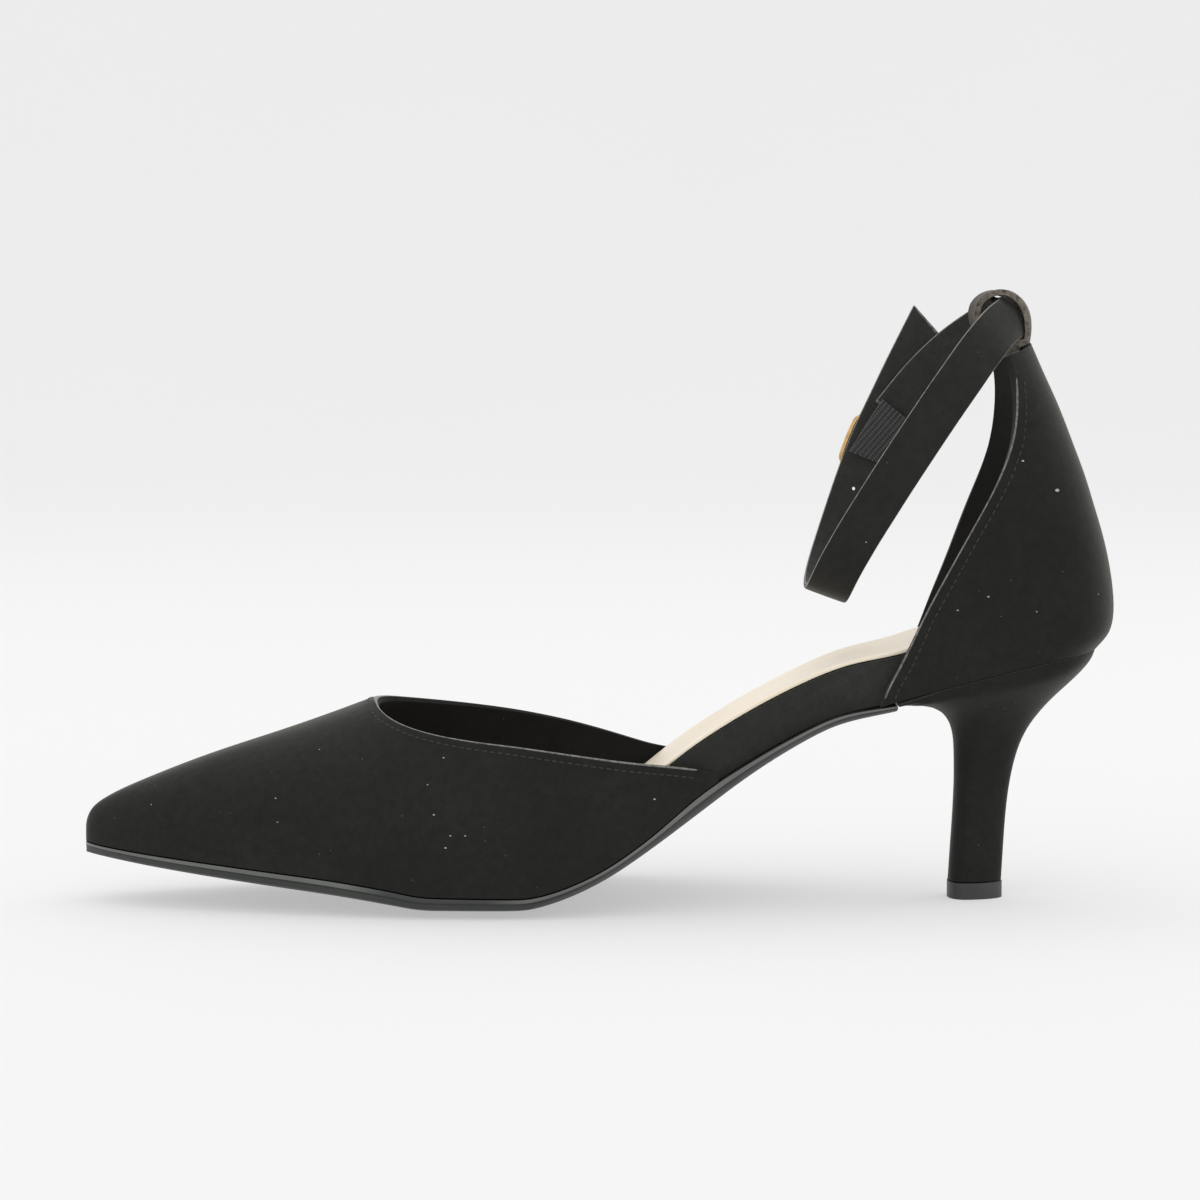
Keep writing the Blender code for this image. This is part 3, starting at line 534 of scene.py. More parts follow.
@dataclass(frozen=True)
class WeaveFinish(Finish):
    """Woven elastic with ribs along its length."""

    dark: tuple[float, float, float]
    light: tuple[float, float, float]
    turn: tuple[float, float, float]
    ribs: float = 900.0
    picks: float = 1500.0
    roughness: float = 0.7
    sheen: float = 0.3
    depth: float = 0.00022
    bump: float = 0.8

    def make(self) -> bpy.types.Material:
        """Makes the elastic's material.

        Returns:
            The new material.
        """
        made, graph, shader = new_material(self.name)
        turned = graph.node("ShaderNodeMapping", {"Vector": object_place(graph),
                                                  "Rotation": self.turn})
        parts = graph.node("ShaderNodeSeparateXYZ", {0: turned.outputs[0]})
        rib = graph.maths("SINE", graph.maths("MULTIPLY", parts.outputs[0], self.ribs * math.tau))
        pick = graph.maths("SINE", graph.maths("MULTIPLY", parts.outputs[2],
                                               self.picks * math.tau))
        raised = graph.ramp(rib, -1.0, 1.0)
        dashes = graph.ramp(pick, -0.6, 0.8)
        weave = graph.maths("MULTIPLY", raised, dashes)
        colour = graph.blend(weave, rgba(self.dark), rgba(self.light))
        graph.tree.links.new(colour, shader.inputs["Base Color"])
        shader.inputs["Roughness"].default_value = self.roughness
        shader.inputs["Sheen Weight"].default_value = self.sheen
        height = graph.maths("ADD", raised, graph.maths("MULTIPLY", weave, 0.5))
        relief(graph, shader, height, self.depth, self.bump)
        return made


@dataclass(frozen=True)
class MetalFinish(Finish):
    """Plated metal with faint handling marks."""

    base: tuple[float, float, float]
    worn: tuple[float, float, float]
    marks: float = 700.0
    polished: float = 0.16
    dulled: float = 0.32

    def make(self) -> bpy.types.Material:
        """Makes the metal's material.

        Returns:
            The new material.
        """
        made, graph, shader = new_material(self.name)
        marks = graph.noise(object_place(graph), self.marks, 4.0, 0.6)
        share = graph.ramp(marks, 0.4, 0.7)
        graph.tree.links.new(graph.blend(share, rgba(self.base), rgba(self.worn)),
                             shader.inputs["Base Color"])
        graph.tree.links.new(graph.ramp(marks, 0.3, 0.7, self.polished, self.dulled),
                             shader.inputs["Roughness"])
        shader.inputs["Metallic"].default_value = 1.0
        return made


@dataclass(frozen=True)
class PlainFinish(Finish):
    """A matte finish with a faint tone, for thread, lint and the floor."""

    base: tuple[float, float, float]
    tone: tuple[float, float, float]
    scale: float = 1500.0
    roughness: float = 0.8
    specular: float = 0.2
    sheen: float = 0.0
    glow: float = 0.0

    def make(self) -> bpy.types.Material:
        """Makes the matte material.

        Returns:
            The new material.
        """
        made, graph, shader = new_material(self.name)
        tone = graph.noise(object_place(graph), self.scale, 3.0)
        graph.tree.links.new(graph.blend(tone, rgba(self.base), rgba(self.tone)),
                             shader.inputs["Base Color"])
        shader.inputs["Roughness"].default_value = self.roughness
        shader.inputs["Specular IOR Level"].default_value = self.specular
        shader.inputs["Sheen Weight"].default_value = self.sheen
        shader.inputs["Emission Color"].default_value = (1.0, 1.0, 1.0, 1.0)
        shader.inputs["Emission Strength"].default_value = self.glow
        return made


SUEDE = SuedeFinish("suede_outside", (0.0130, 0.0130, 0.0123), (0.0290, 0.0290, 0.0268))
STRAP_SUEDE = SuedeFinish("suede_strap", (0.0160, 0.0160, 0.0150), (0.036, 0.036, 0.032),
                          offset=(0.31, 0.17, 0.05))
STRAP_BACK = SuedeFinish("suede_strap_back", (0.026, 0.026, 0.024), (0.072, 0.072, 0.067),
                         offset=(0.11, 0.23, 0.41))
BOARD_SUEDE = SuedeFinish("suede_board", (0.022, 0.022, 0.021), (0.056, 0.056, 0.052),
                          offset=(0.21, 0.37, 0.15))
TUNNEL_SUEDE = SuedeFinish("suede_tunnel", (0.048, 0.043, 0.037), (0.145, 0.130, 0.112),
                           offset=(0.05, 0.47, 0.25))
LINING = SuedeFinish("black_lining", (0.0100, 0.0100, 0.0098), (0.020, 0.020, 0.019),
                     strength=0.45, patches=300.0, fibres=3200.0, sheen=0.05, depth=0.00006,
                     dust=0.85)
HEEL_LINING = SuedeFinish("heel_lining", (0.019, 0.019, 0.018), (0.040, 0.040, 0.037),
                          strength=0.45, patches=300.0, fibres=3200.0, sheen=0.10, depth=0.00006,
                          dust=0.85)
RAW_EDGE = FuzzFinish("raw_cut_edge", (0.050, 0.049, 0.045), (0.22, 0.216, 0.195), low=0.32,
                      high=0.62)
RING_EDGE = FuzzFinish("tunnel_cut_edge", (0.060, 0.054, 0.044), (0.20, 0.18, 0.15))
SOCK_TOP = GrainFinish("sock_leather", (0.84, 0.72, 0.55), (0.88, 0.78, 0.62), grain=1500.0,
                       smooth=0.34, dull=0.46, coat=0.12)
SOCK_EDGE = GrainFinish("sock_rolled_edge", (0.86, 0.76, 0.60), (0.90, 0.82, 0.68), grain=1300.0,
                        smooth=0.30, dull=0.42, coat=0.2)
SOLE = GrainFinish("outsole_rubber", (0.020, 0.023, 0.021), (0.032, 0.035, 0.032), clouds=35.0,
                   grain=2600.0, smooth=0.46, dull=0.60, depth=0.00002, specular=0.25)
# The flank is a copy of the rubber darker than the lip, as painted shade on the side that turns
# under.
SOLE_FLANK_PAINTED_SHADE = GrainFinish("outsole_flank_painted_shade", (0.040, 0.043, 0.040), (0.052, 0.055, 0.051),
                         clouds=35.0, grain=2600.0, smooth=0.46, dull=0.60, depth=0.00002,
                         specular=0.25)
# The lip is a paler copy of the rubber as a painted highlight, with painted shade along the ball.
SOLE_LIP_PAINTED_LIGHT = LipPaintedLightFinish("outsole_lip_painted_light", (0.095, 0.100, 0.094), (0.130, 0.136, 0.128), clouds=35.0,
                     grain=2600.0, smooth=0.30, dull=0.44, depth=0.00002, coat=0.2)
LIFT = GrainFinish("top_lift_rubber", (0.028, 0.031, 0.029), (0.040, 0.043, 0.040), clouds=90.0,
                   grain=2200.0, smooth=0.42, dull=0.58, depth=0.00003)
ELASTIC = WeaveFinish("ribbed_elastic", (0.024, 0.024, 0.026), (0.085, 0.085, 0.090),
                      (0.0, math.radians(-40.0), 0.0))
GOLD = MetalFinish("gold_plating", (0.58, 0.38, 0.16), (0.44, 0.28, 0.11))
THREAD = PlainFinish("black_thread", (0.015, 0.015, 0.014), (0.056, 0.055, 0.050), scale=900.0,
                     sheen=0.1, roughness=0.7)
LINT = PlainFinish("pale_lint", (0.30, 0.29, 0.265), (0.52, 0.50, 0.46), roughness=0.95)
# The floor glows faintly: painted light that keeps it even and lightens the shadow under the shoe.
FLOOR = PlainFinish("pale_floor", (0.40, 0.40, 0.40), (0.41, 0.41, 0.41), scale=3.0,
                    roughness=0.9, glow=0.44)


# Work on meshes


def only(*objects: bpy.types.Object) -> None:
    """Selects the given objects alone, with the first one active.

    Args:
        objects: What to select.
    """
    for item in bpy.context.view_layer.objects:
        item.select_set(False)
    for item in objects:
        item.select_set(True)
    bpy.context.view_layer.objects.active = objects[0]


@contextmanager
def editing(piece: bpy.types.Object, mode: str = "EDGE") -> Iterator[None]:
    """Opens a piece in edit mode.

    Args:
        piece: The piece to edit.
        mode: The kind of element that is selected.

    Yields:
        Nothing; the piece is back in object mode afterwards.
    """
    only(piece)
    bpy.context.tool_settings.mesh_select_mode = (mode == "VERT", mode == "EDGE", mode == "FACE")
    bpy.ops.object.mode_set(mode="EDIT")
    yield
    bpy.ops.object.mode_set(mode="OBJECT")


def clear_selection(mesh: bpy.types.Mesh) -> None:
    """Deselects every part of a mesh."""
    for parts in (mesh.vertices, mesh.edges, mesh.polygons):
        parts.foreach_set("select", [False] * len(parts))


def select_edges(piece: bpy.types.Object, wanted: Sequence[int]) -> None:
    """Selects the listed edges alone, in object mode.

    Args:
        piece: The piece.
        wanted: The numbers of its edges.
    """
    mesh = piece.data
    clear_selection(mesh)
    for index in wanted:
        mesh.edges[index].select = True
        for vertex in mesh.edges[index].vertices:
            mesh.vertices[vertex].select = True


def copy_of(node: str, name: str) -> bpy.types.Object:
    """Copies a CAD node's mesh into a new piece and joins its loose triangles.

    Args:
        node: The CAD node's name.
        name: The new piece's name.

    Returns:
        The new piece, in quads where the solid had them.
    """
    mesh = frame["nodes"][node].data.copy()
    mesh.name = name
    mesh.materials.clear()
    piece = bpy.data.objects.new(name, mesh)
    bpy.context.scene.collection.objects.link(piece)
    with editing(piece, "VERT"):
        bpy.ops.mesh.select_all(action="SELECT")
        bpy.ops.mesh.remove_doubles(threshold=WELD_DISTANCE)
        bpy.ops.mesh.customdata_custom_splitnormals_clear()
        bpy.ops.mesh.tris_convert_to_quads(face_threshold=math.radians(35.0),
                                           shape_threshold=math.radians(70.0))
    return piece


def smooth_over(piece: bpy.types.Object, levels: int, sharp_degrees: float = 50.0,
                crease: float = 1.0) -> None:
    """Subdivides a piece, keeping its sharp edges.

    Args:
        piece: The piece to subdivide.
        levels: How many times each face is divided.
        sharp_degrees: The angle from which an edge is kept.
        crease: How sharp such an edge stays, from 0 to 1.
    """
    with editing(piece):
        bpy.ops.mesh.select_all(action="DESELECT")
        bpy.ops.mesh.edges_select_sharp(sharpness=math.radians(sharp_degrees))
        bpy.ops.transform.edge_crease(value=crease)
        bpy.ops.mesh.select_all(action="DESELECT")
    divide = piece.modifiers.new("divide", "SUBSURF")
    divide.levels = divide.render_levels = levels
    only(piece)
    bpy.ops.object.modifier_apply(modifier=divide.name)
    bpy.ops.object.shade_smooth_by_angle(angle=math.radians(40.0))


class Seams:
    """The faces of a mesh in groups that its sharp edges part, largest first."""

    def __init__(self, mesh: bpy.types.Mesh, sharp_degrees: float) -> None:
        """Groups the faces.

        Args:
            mesh: The mesh, with its doubles merged.
            sharp_degrees: The angle from which an edge parts two groups.
        """
        self.mesh = mesh
        self.beside: dict[tuple[int, int], list[int]] = {}
        for face in mesh.polygons:
            for key in face.edge_keys:
                self.beside.setdefault(key, []).append(face.index)
        limit = math.cos(math.radians(sharp_degrees))
        normals = [face.normal.copy() for face in mesh.polygons]
        near: list[list[int]] = [[] for _ in mesh.polygons]
        for pair in self.beside.values():
            if len(pair) == 2 and normals[pair[0]].dot(normals[pair[1]]) > limit:
                near[pair[0]].append(pair[1])
                near[pair[1]].append(pair[0])
        self.group = [-1] * len(mesh.polygons)
        groups = []
        for start in range(len(mesh.polygons)):
            if self.group[start] >= 0:
                continue
            self.group[start] = len(groups)
            found, waiting = [], [start]
            while waiting:
                face = waiting.pop()
                found.append(face)
                for other in near[face]:
                    if self.group[other] < 0:
                        self.group[other] = len(groups)
                        waiting.append(other)
            groups.append(found)
        area = [sum(mesh.polygons[face].area for face in found) for found in groups]
        order = sorted(range(len(groups)), key=lambda index: -area[index])
        self.groups = [groups[index] for index in order]
        rank = {old: new for new, old in enumerate(order)}
        self.group = [rank[index] for index in self.group]

    def border(self, group: int) -> list[tuple[int, int]]:
        """Returns the edges between a group and its neighbours."""
        return [key for key, pair in self.beside.items()
                if len(pair) == 2 and (self.group[pair[0]] == group)
                != (self.group[pair[1]] == group)]

    def inward(self, key: tuple[int, int], group: int) -> Vector:
        """Finds the way from a border edge into its group's face, square to the edge.

        Args:
            key: The edge's two points.
            group: The group.

        Returns:
            The direction.
        """
        one, other = (self.mesh.vertices[index].co for index in key)
        face = next(face for face in self.beside[key] if self.group[face] == group)
        along = (other - one).normalized()
        across = self.mesh.polygons[face].center - (one + other) / 2
        return (across - along * across.dot(along)).normalized()


@dataclass
class Chain:
    """An ordered run of points along an edge, with the way into the face at each."""

    points: list[Vector]
    inwards: list[Vector]

    def resampled(self, pitch: float) -> "Chain":
        """Places points evenly along the run.

        Args:
            pitch: About how far apart they are.

        Returns:
            The same run with the new points.
        """
        run = [0.0]
        for one, other in zip(self.points, self.points[1:]):
            run.append(run[-1] + (other - one).length)
        count = max(int(run[-1] / pitch), 1)
        points, inwards, spot = [], [], 0
        for step in range(count + 1):
            reach = run[-1] * step / count
            while spot < len(run) - 2 and run[spot + 1] < reach:
                spot += 1
            share = (reach - run[spot]) / max(run[spot + 1] - run[spot], LEAST_STEP)
            points.append(self.points[spot].lerp(self.points[spot + 1], share))
            inwards.append(self.inwards[spot].lerp(self.inwards[spot + 1], share).normalized())
        return Chain(points, inwards)


def chains_of(seams: Seams, group: int, keep: Callable[[Vector], bool]) -> list[Chain]:
    """Walks along a group's border where a test holds.

    Args:
        seams: The mesh's groups of faces.
        group: The group whose border is walked.
        keep: Whether a point of the border is wanted.

    Returns:
        The runs of wanted border points, the longest first.
    """
    at = seams.mesh.vertices
    keys = [key for key in seams.border(group) if all(keep(at[index].co) for index in key)]
    ways: dict[int, list[int]] = {}
    inward: dict[int, Vector] = {}
    for key in keys:
        for one, other in (key, key[::-1]):
            ways.setdefault(one, []).append(other)
            inward[one] = inward.get(one, Vector()) + seams.inward(key, group)
    runs: list[list[int]] = []
    left = set(ways)
    while left:
        ends = [index for index in left if len(ways[index]) == 1] or [min(left)]
        spot = min(ends)
        run = [spot]
        left.discard(spot)
        while True:
            following = [index for index in ways[run[-1]] if index in left]
            if not following:
                break
            run.append(following[0])
            left.discard(following[0])
        runs.append(run)
    runs.sort(key=len, reverse=True)
    return [Chain([at[index].co.copy() for index in run],
                  [inward[index].normalized() for index in run]) for run in runs]


@dataclass(frozen=True)
class Fold:
    """One soft trough or ridge, placed as given."""

    centre: tuple[float, float, float]
    along: tuple[float, float, float]
    push: tuple[float, float, float]
    length: float
    width: float
    depth: float

    def shift(self, point: Vector) -> Vector:
        """Works out how far the fold moves a point.

        Args:
            point: The point.

        Returns:
            The move.
        """
        away = point - Vector(self.centre)
        push = Vector(self.push).normalized()
        along = Vector(self.along).normalized()
        along = (along - push * along.dot(push)).normalized()
        across = push.cross(along)
        run, side = away.dot(along) / self.length, away.dot(across) / self.width
        deep = away.dot(push) / max(self.length, LEAST_FOLD_REACH)
        return push * self.depth * math.exp(-(run * run + side * side + deep * deep))


def press_folds(piece: bpy.types.Object, folds: Sequence[Fold]) -> None:
    """Moves a piece's points by each fold, both walls alike."""
    for vertex in piece.data.vertices:
        vertex.co += sum((fold.shift(vertex.co) for fold in folds), Vector())


def dress(piece: bpy.types.Object, materials: Sequence[bpy.types.Material]) -> None:
    """Gives a bare piece its materials in the order of its slots, before it is bevelled or cut."""
    for material in materials:
        piece.data.materials.append(material)


def present(piece: bpy.types.Object, nodes: Sequence[str] = ()) -> bpy.types.Object:
    """Attaches a finished piece to the body and hides the CAD nodes that it stands for.

    Args:
        piece: The piece.
        nodes: CAD nodes that it stands for.

    Returns:
        The same piece.
    """
    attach(piece, BODY)
    if nodes:
        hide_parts(*nodes)
    log.info("%s: %d faces", piece.name, len(piece.data.polygons))
    return piece


def surface_of(piece: bpy.types.Object) -> BVHTree:
    """Returns a search tree over a piece's faces."""
    mesh = piece.data
    return BVHTree.FromPolygons([vertex.co for vertex in mesh.vertices],
                                [tuple(face.vertices) for face in mesh.polygons])


def bevel_sharp(piece: bpy.types.Object, degrees: float, width: float,
                segments: int = EDGE_SEGMENTS, material: int = OWN_MATERIAL) -> None:
    """Bevels the sharp edges of a piece.

    Args:
        piece: The piece.
        degrees: How sharp an edge has to be.
        width: The bevel's width.
        segments: How many faces cross the bevel.
        material: The bevel's place among the finishes, or OWN_MATERIAL for that of its faces.
    """
    with editing(piece):
        bpy.ops.mesh.select_all(action="DESELECT")
        bpy.ops.mesh.edges_select_sharp(sharpness=math.radians(degrees))
        bpy.ops.mesh.bevel(offset_type="OFFSET", offset=width, segments=segments,
                           affect="EDGES", material=material)


def joined(pieces: Sequence[bpy.types.Object], name: str) -> bpy.types.Object:
    """Joins small pieces into one.

    Args:
        pieces: What to join.
        name: The new piece's name.

    Returns:
        The joined piece, with its transform applied.
    """
    only(*pieces)
    bpy.ops.object.join()
    whole = bpy.context.active_object
    whole.name = whole.data.name = name
    bpy.ops.object.transform_apply(location=True, rotation=True, scale=True)
    return whole


def dressed_copy(node: str, name: str, finish: Finish, levels: int,
                 degrees: float) -> bpy.types.Object:
    """Copies a piece, gives it one finish, smooths it and presents it.

    Args:
        node: The node that the piece replaces.
        name: The piece's name.
        finish: Its finish.
        levels: How often it is subdivided.
        degrees: How sharp an edge has to be to stay.

    Returns:
        The new piece.
    """
    piece = copy_of(node, name)
    dress(piece, [finish.build()])
    smooth_over(piece, levels, sharp_degrees=degrees)
    present(piece, [node])
    return piece


@dataclass
class StitchRow:
    """A row of short raised stitches."""

    pitch: float = 0.0018
    length: float = 0.00125
    width: float = 0.00036
    inset: float = 0.0021
    sink: float = 0.45
    sides: int = 8
    rings: int = 6
    middle: float = 0.05
    taper: float = 0.8

    def template(self) -> bpy.types.Object:
        """Models one stitch: a rounded bar along Z that narrows to its ends.

        Returns:
            The stitch.
        """
        bpy.ops.mesh.primitive_uv_sphere_add(segments=self.sides, ring_count=self.rings,
                                             radius=self.width / 2)
        stitch = bpy.context.active_object
        reach = (self.length - self.width) / 2
        for side in (1.0, -1.0):
            clear_selection(stitch.data)
            for vertex in stitch.data.vertices:
                vertex.select = vertex.co.z * side > self.width * self.middle
            with editing(stitch, "VERT"):
                bpy.ops.transform.translate(value=(0.0, 0.0, side * reach))
                bpy.ops.transform.resize(value=(self.taper, self.taper, 1.0))
        only(stitch)
        bpy.ops.object.shade_smooth()
        return stitch

    def lay(self, stitch: bpy.types.Object, before: tuple[Vector, Vector],
            after: tuple[Vector, Vector], surface: BVHTree) -> bpy.types.Object:
        """Lays a copy of the stitch between two spots of a row.

        Args:
            stitch: The stitch.
            before: Where it starts, and the surface's facing there.
            after: Where it ends, and the surface's facing there.
            surface: What it lies on.

        Returns:
            The copy.
        """
        middle, normal = (before[0] + after[0]) / 2, (before[1] + after[1]).normalized()
        place, facing = surface.find_nearest(middle)[:2]
        facing = facing if facing.dot(normal) > 0 else normal
        along = (after[0] - before[0]).normalized()
        side = along.cross(facing).normalized()
        out = side.cross(along)
        turn = Matrix((side, out, along)).transposed().to_4x4()
        laid = stitch.copy()
        laid.data = stitch.data.copy()
        lift = out * self.width * (0.5 - self.sink) * 0.5
        laid.matrix_world = Matrix.Translation(place + lift) @ turn
        bpy.context.scene.collection.objects.link(laid)
        return laid

    def sew(self, name: str, chains: Sequence[Chain], surface: BVHTree) -> bpy.types.Object:
        """Sews the rows and joins them into one piece.

        Args:
            name: The piece's name.
            chains: The edges that the rows follow.
            surface: What the stitches lie on.

        Returns:
            The joined stitches.
        """
        stitch = self.template()
        copies = []
        for chain in chains:
            row = chain.resampled(self.pitch)
            spots = [surface.find_nearest(point + inward * self.inset)[:2]
                     for point, inward in zip(row.points, row.inwards)]
            copies += [self.lay(stitch, before, after, surface)
                       for before, after in zip(spots, spots[1:])]
        bpy.data.objects.remove(stitch)
        sewn = joined(copies, name)
        dress(sewn, [THREAD.build()])
        return present(sewn)


def dress_walls(piece: bpy.types.Object, seams: Seams, lining: SuedeFinish) -> None:
    """Gives a piece of the upper its suede outside and its lining on the rims and inside.

    Args:
        piece: The bare piece.
        seams: Its groups of faces, the outer wall first.
        lining: The finish of the rims and of the inner wall.
    """
    dress(piece, [SUEDE.build(), RAW_EDGE.build(), lining.build()])
    for index, group in enumerate(seams.group):
        place = Place.INSIDE if group else Place.OUTSIDE
        piece.data.polygons[index].material_index = place.value


def soften_edges(piece: bpy.types.Object, seams: Seams, width: float,
                 keep: Callable[[Vector], bool]) -> None:
    """Bevels the outer wall's border, keeps the bevel narrow and gives it the raw edge's place.

    Args:
        piece: The piece of the upper.
        seams: Its groups of faces, the outer wall first.
        width: The bevel's width.
        keep: Whether a point of the border is bevelled.
    """
    wanted = set(seams.border(0))
    at = piece.data.vertices
    chosen = [edge.index for edge in piece.data.edges
              if tuple(sorted(edge.vertices)) in wanted
              and all(keep(at[index].co) for index in edge.vertices)]
    select_edges(piece, chosen)
    with editing(piece):
        bpy.ops.mesh.bevel(offset_type="OFFSET", offset=width, segments=EDGE_SEGMENTS,
                           affect="EDGES", material=Place.EDGE.value)
        bpy.ops.mesh.region_to_loop()
        bpy.ops.transform.edge_crease(value=1.0)


# Sub-assemblies


@dataclass
class Vamp:
    """The pointed front of the upper."""

    wall_degrees: float = 45.0
    edge_width: float = 0.00042
    topline_low: float = 0.0310
    back_end: float = 0.02725
    levels: int = 2
    folds: tuple[Fold, ...] = (
        Fold((-0.020, -0.034, 0.026), (0.55, 0.0, 1.0), (0.0, -1.0, 0.1), 0.014, 0.0045, -0.00035),
        Fold((-0.006, -0.034, 0.028), (0.60, 0.0, 1.0), (0.0, -1.0, 0.1), 0.012, 0.0040, 0.00025),
        Fold((-0.020, 0.034, 0.026), (0.55, 0.0, 1.0), (0.0, 1.0, 0.1), 0.014, 0.0045, -0.00035),
        Fold((-0.092, -0.010, 0.030), (1.0, 0.3, 0.4), (0.0, -0.5, 1.0), 0.014, 0.0060, 0.00030),
    )

    def on_topline(self, point: Vector) -> bool:
        """Says whether a point of the outer face's border lies on the topline."""
        return point.z > self.topline_low and point.x < self.back_end

    def build(self) -> bpy.types.Object:
        """Builds the vamp with its raw topline and its stitches.

        Returns:
            The dressed vamp.
        """
        piece = copy_of("vamp", "vamp_suede")
        seams = Seams(piece.data, self.wall_degrees)
        dress_walls(piece, seams, LINING)
        topline = chains_of(seams, 0, self.on_topline)[0]
        soften_edges(piece, seams, self.edge_width, self.on_topline)
        smooth_over(piece, self.levels)
        press_folds(piece, self.folds)
        present(piece, ["vamp"])
        StitchRow().sew("vamp_stitches", [topline], surface_of(piece))
        return piece


@dataclass
class Quarter:
    """The heel's wall, with its raw front edges."""

    wall_degrees: float = 62.0
    edge_width: float = 0.00034
    levels: int = 2
    stitch_inset: float = 0.0024
    tab_low: float = 0.1285
    seat_height: float = 0.0482
    seat_front: float = 0.0653
    seat_slope: float = 0.232
    seat_clearance: float = 0.0012
    folds: tuple[Fold, ...] = (
        Fold((0.104, -0.022, 0.090), (0.2, 0.0, 1.0), (0.0, -1.0, 0.0), 0.016, 0.0070, -0.00030),
        Fold((0.101, -0.018, 0.108), (0.4, 0.0, 1.0), (0.0, -1.0, 0.0), 0.012, 0.0050, 0.00030),
        Fold((0.104, 0.022, 0.090), (0.2, 0.0, 1.0), (0.0, 1.0, 0.0), 0.016, 0.0070, -0.00030),
        Fold((0.1018, 0.0, 0.1314), (0.0, 1.0, 0.0), (0.0, 0.0, 1.0), 0.010, 0.0035, 0.00075),
    )

    def on_front(self, point: Vector) -> bool:
        """Says whether a point of the outer face's border lies on a front edge, above the seat."""
        seat = self.seat_height + (point.x - self.seat_front) * self.seat_slope
        return seat + self.seat_clearance < point.z < self.tab_low

    def build(self) -> bpy.types.Object:
        """Builds the quarter with its stitches.

        Returns:
            The dressed quarter.
        """
        piece = copy_of("quarter", "quarter_suede")
        seams = Seams(piece.data, self.wall_degrees)
        dress_walls(piece, seams, HEEL_LINING)
        fronts = chains_of(seams, 0, self.on_front)[:2]
        soften_edges(piece, seams, self.edge_width, self.on_front)
        smooth_over(piece, self.levels)
        press_folds(piece, self.folds)
        present(piece, ["quarter"])
        StitchRow(inset=self.stitch_inset).sew("quarter_stitches", fronts, surface_of(piece))
        return piece


@dataclass
class Heel:
    """The covered heel and its top lift."""

    levels: int = 2
    rim_degrees: float = 62.0

    def build(self) -> None:
        """Builds the heel's cover and its lift."""
        dressed_copy("heel", "heel_cover", SUEDE, self.levels, self.rim_degrees)
        dressed_copy("top_lift", "top_lift_rubber", LIFT, self.levels,
                     self.rim_degrees)


@dataclass
class Footbed:
    """The cream sock and the suede-sided board beneath it."""

    roll: float = 0.00042
    top_degrees: float = 40.0
    rim_degrees: float = 50.0
    sock_degrees: float = 60.0
    board_degrees: float = 50.0
    levels: int = 2

    def build(self) -> None:
        """Builds the sock with its rolled edge, and the board."""
        sock = copy_of("insole", "sock")
        dress(sock, [SOCK_TOP.build(), SOCK_EDGE.build()])
        seams = Seams(sock.data, self.top_degrees)
        for index, group in enumerate(seams.group):
            sock.data.polygons[index].material_index = 0 if group == 0 else 1
        bevel_sharp(sock, self.rim_degrees, self.roll, material=Place.EDGE.value)
        smooth_over(sock, self.levels, sharp_degrees=self.sock_degrees)
        present(sock, ["insole"])
        dressed_copy("insole_board", "board_cover", BOARD_SUEDE, self.levels,
                     self.board_degrees)


@dataclass
class Sole:
    """The thin moulded outsole."""

    levels: int = 2
    lip: float = 0.00022
    lip_degrees: float = 45.0
    rim_degrees: float = 60.0
    lip_facing: float = 0.12
    flank_facing: float = 0.5
    flank_across: float = 0.55

    def dress_faces(self, sole: bpy.types.Object) -> None:
        """Gives the outsole its upper lip, paler as a painted highlight, its flank below it, darker
        than the lip as painted shade, and its plain tread.

        Args:
            sole: The bare outsole.
        """
        dress(sole, [SOLE.build(), SOLE_LIP_PAINTED_LIGHT.build(), SOLE_FLANK_PAINTED_SHADE.build()])
        # Each face takes a tone of the one rubber by the way it turns: the lip a painted highlight,
        # the flank painted shade.
        for face in sole.data.polygons:
            turn = face.normal
            flank = abs(turn.z) < self.flank_facing or abs(turn.y) > self.flank_across
            face.material_index = 1 if abs(turn.z) < self.lip_facing else 2 * int(flank)

    def build(self) -> None:
        """Builds the outsole with rounded lips."""
        sole = copy_of("outsole", "outsole_rubber")
        self.dress_faces(sole)
        bevel_sharp(sole, self.lip_degrees, self.lip)
        smooth_over(sole, self.levels, sharp_degrees=self.rim_degrees)
        present(sole, ["outsole"])


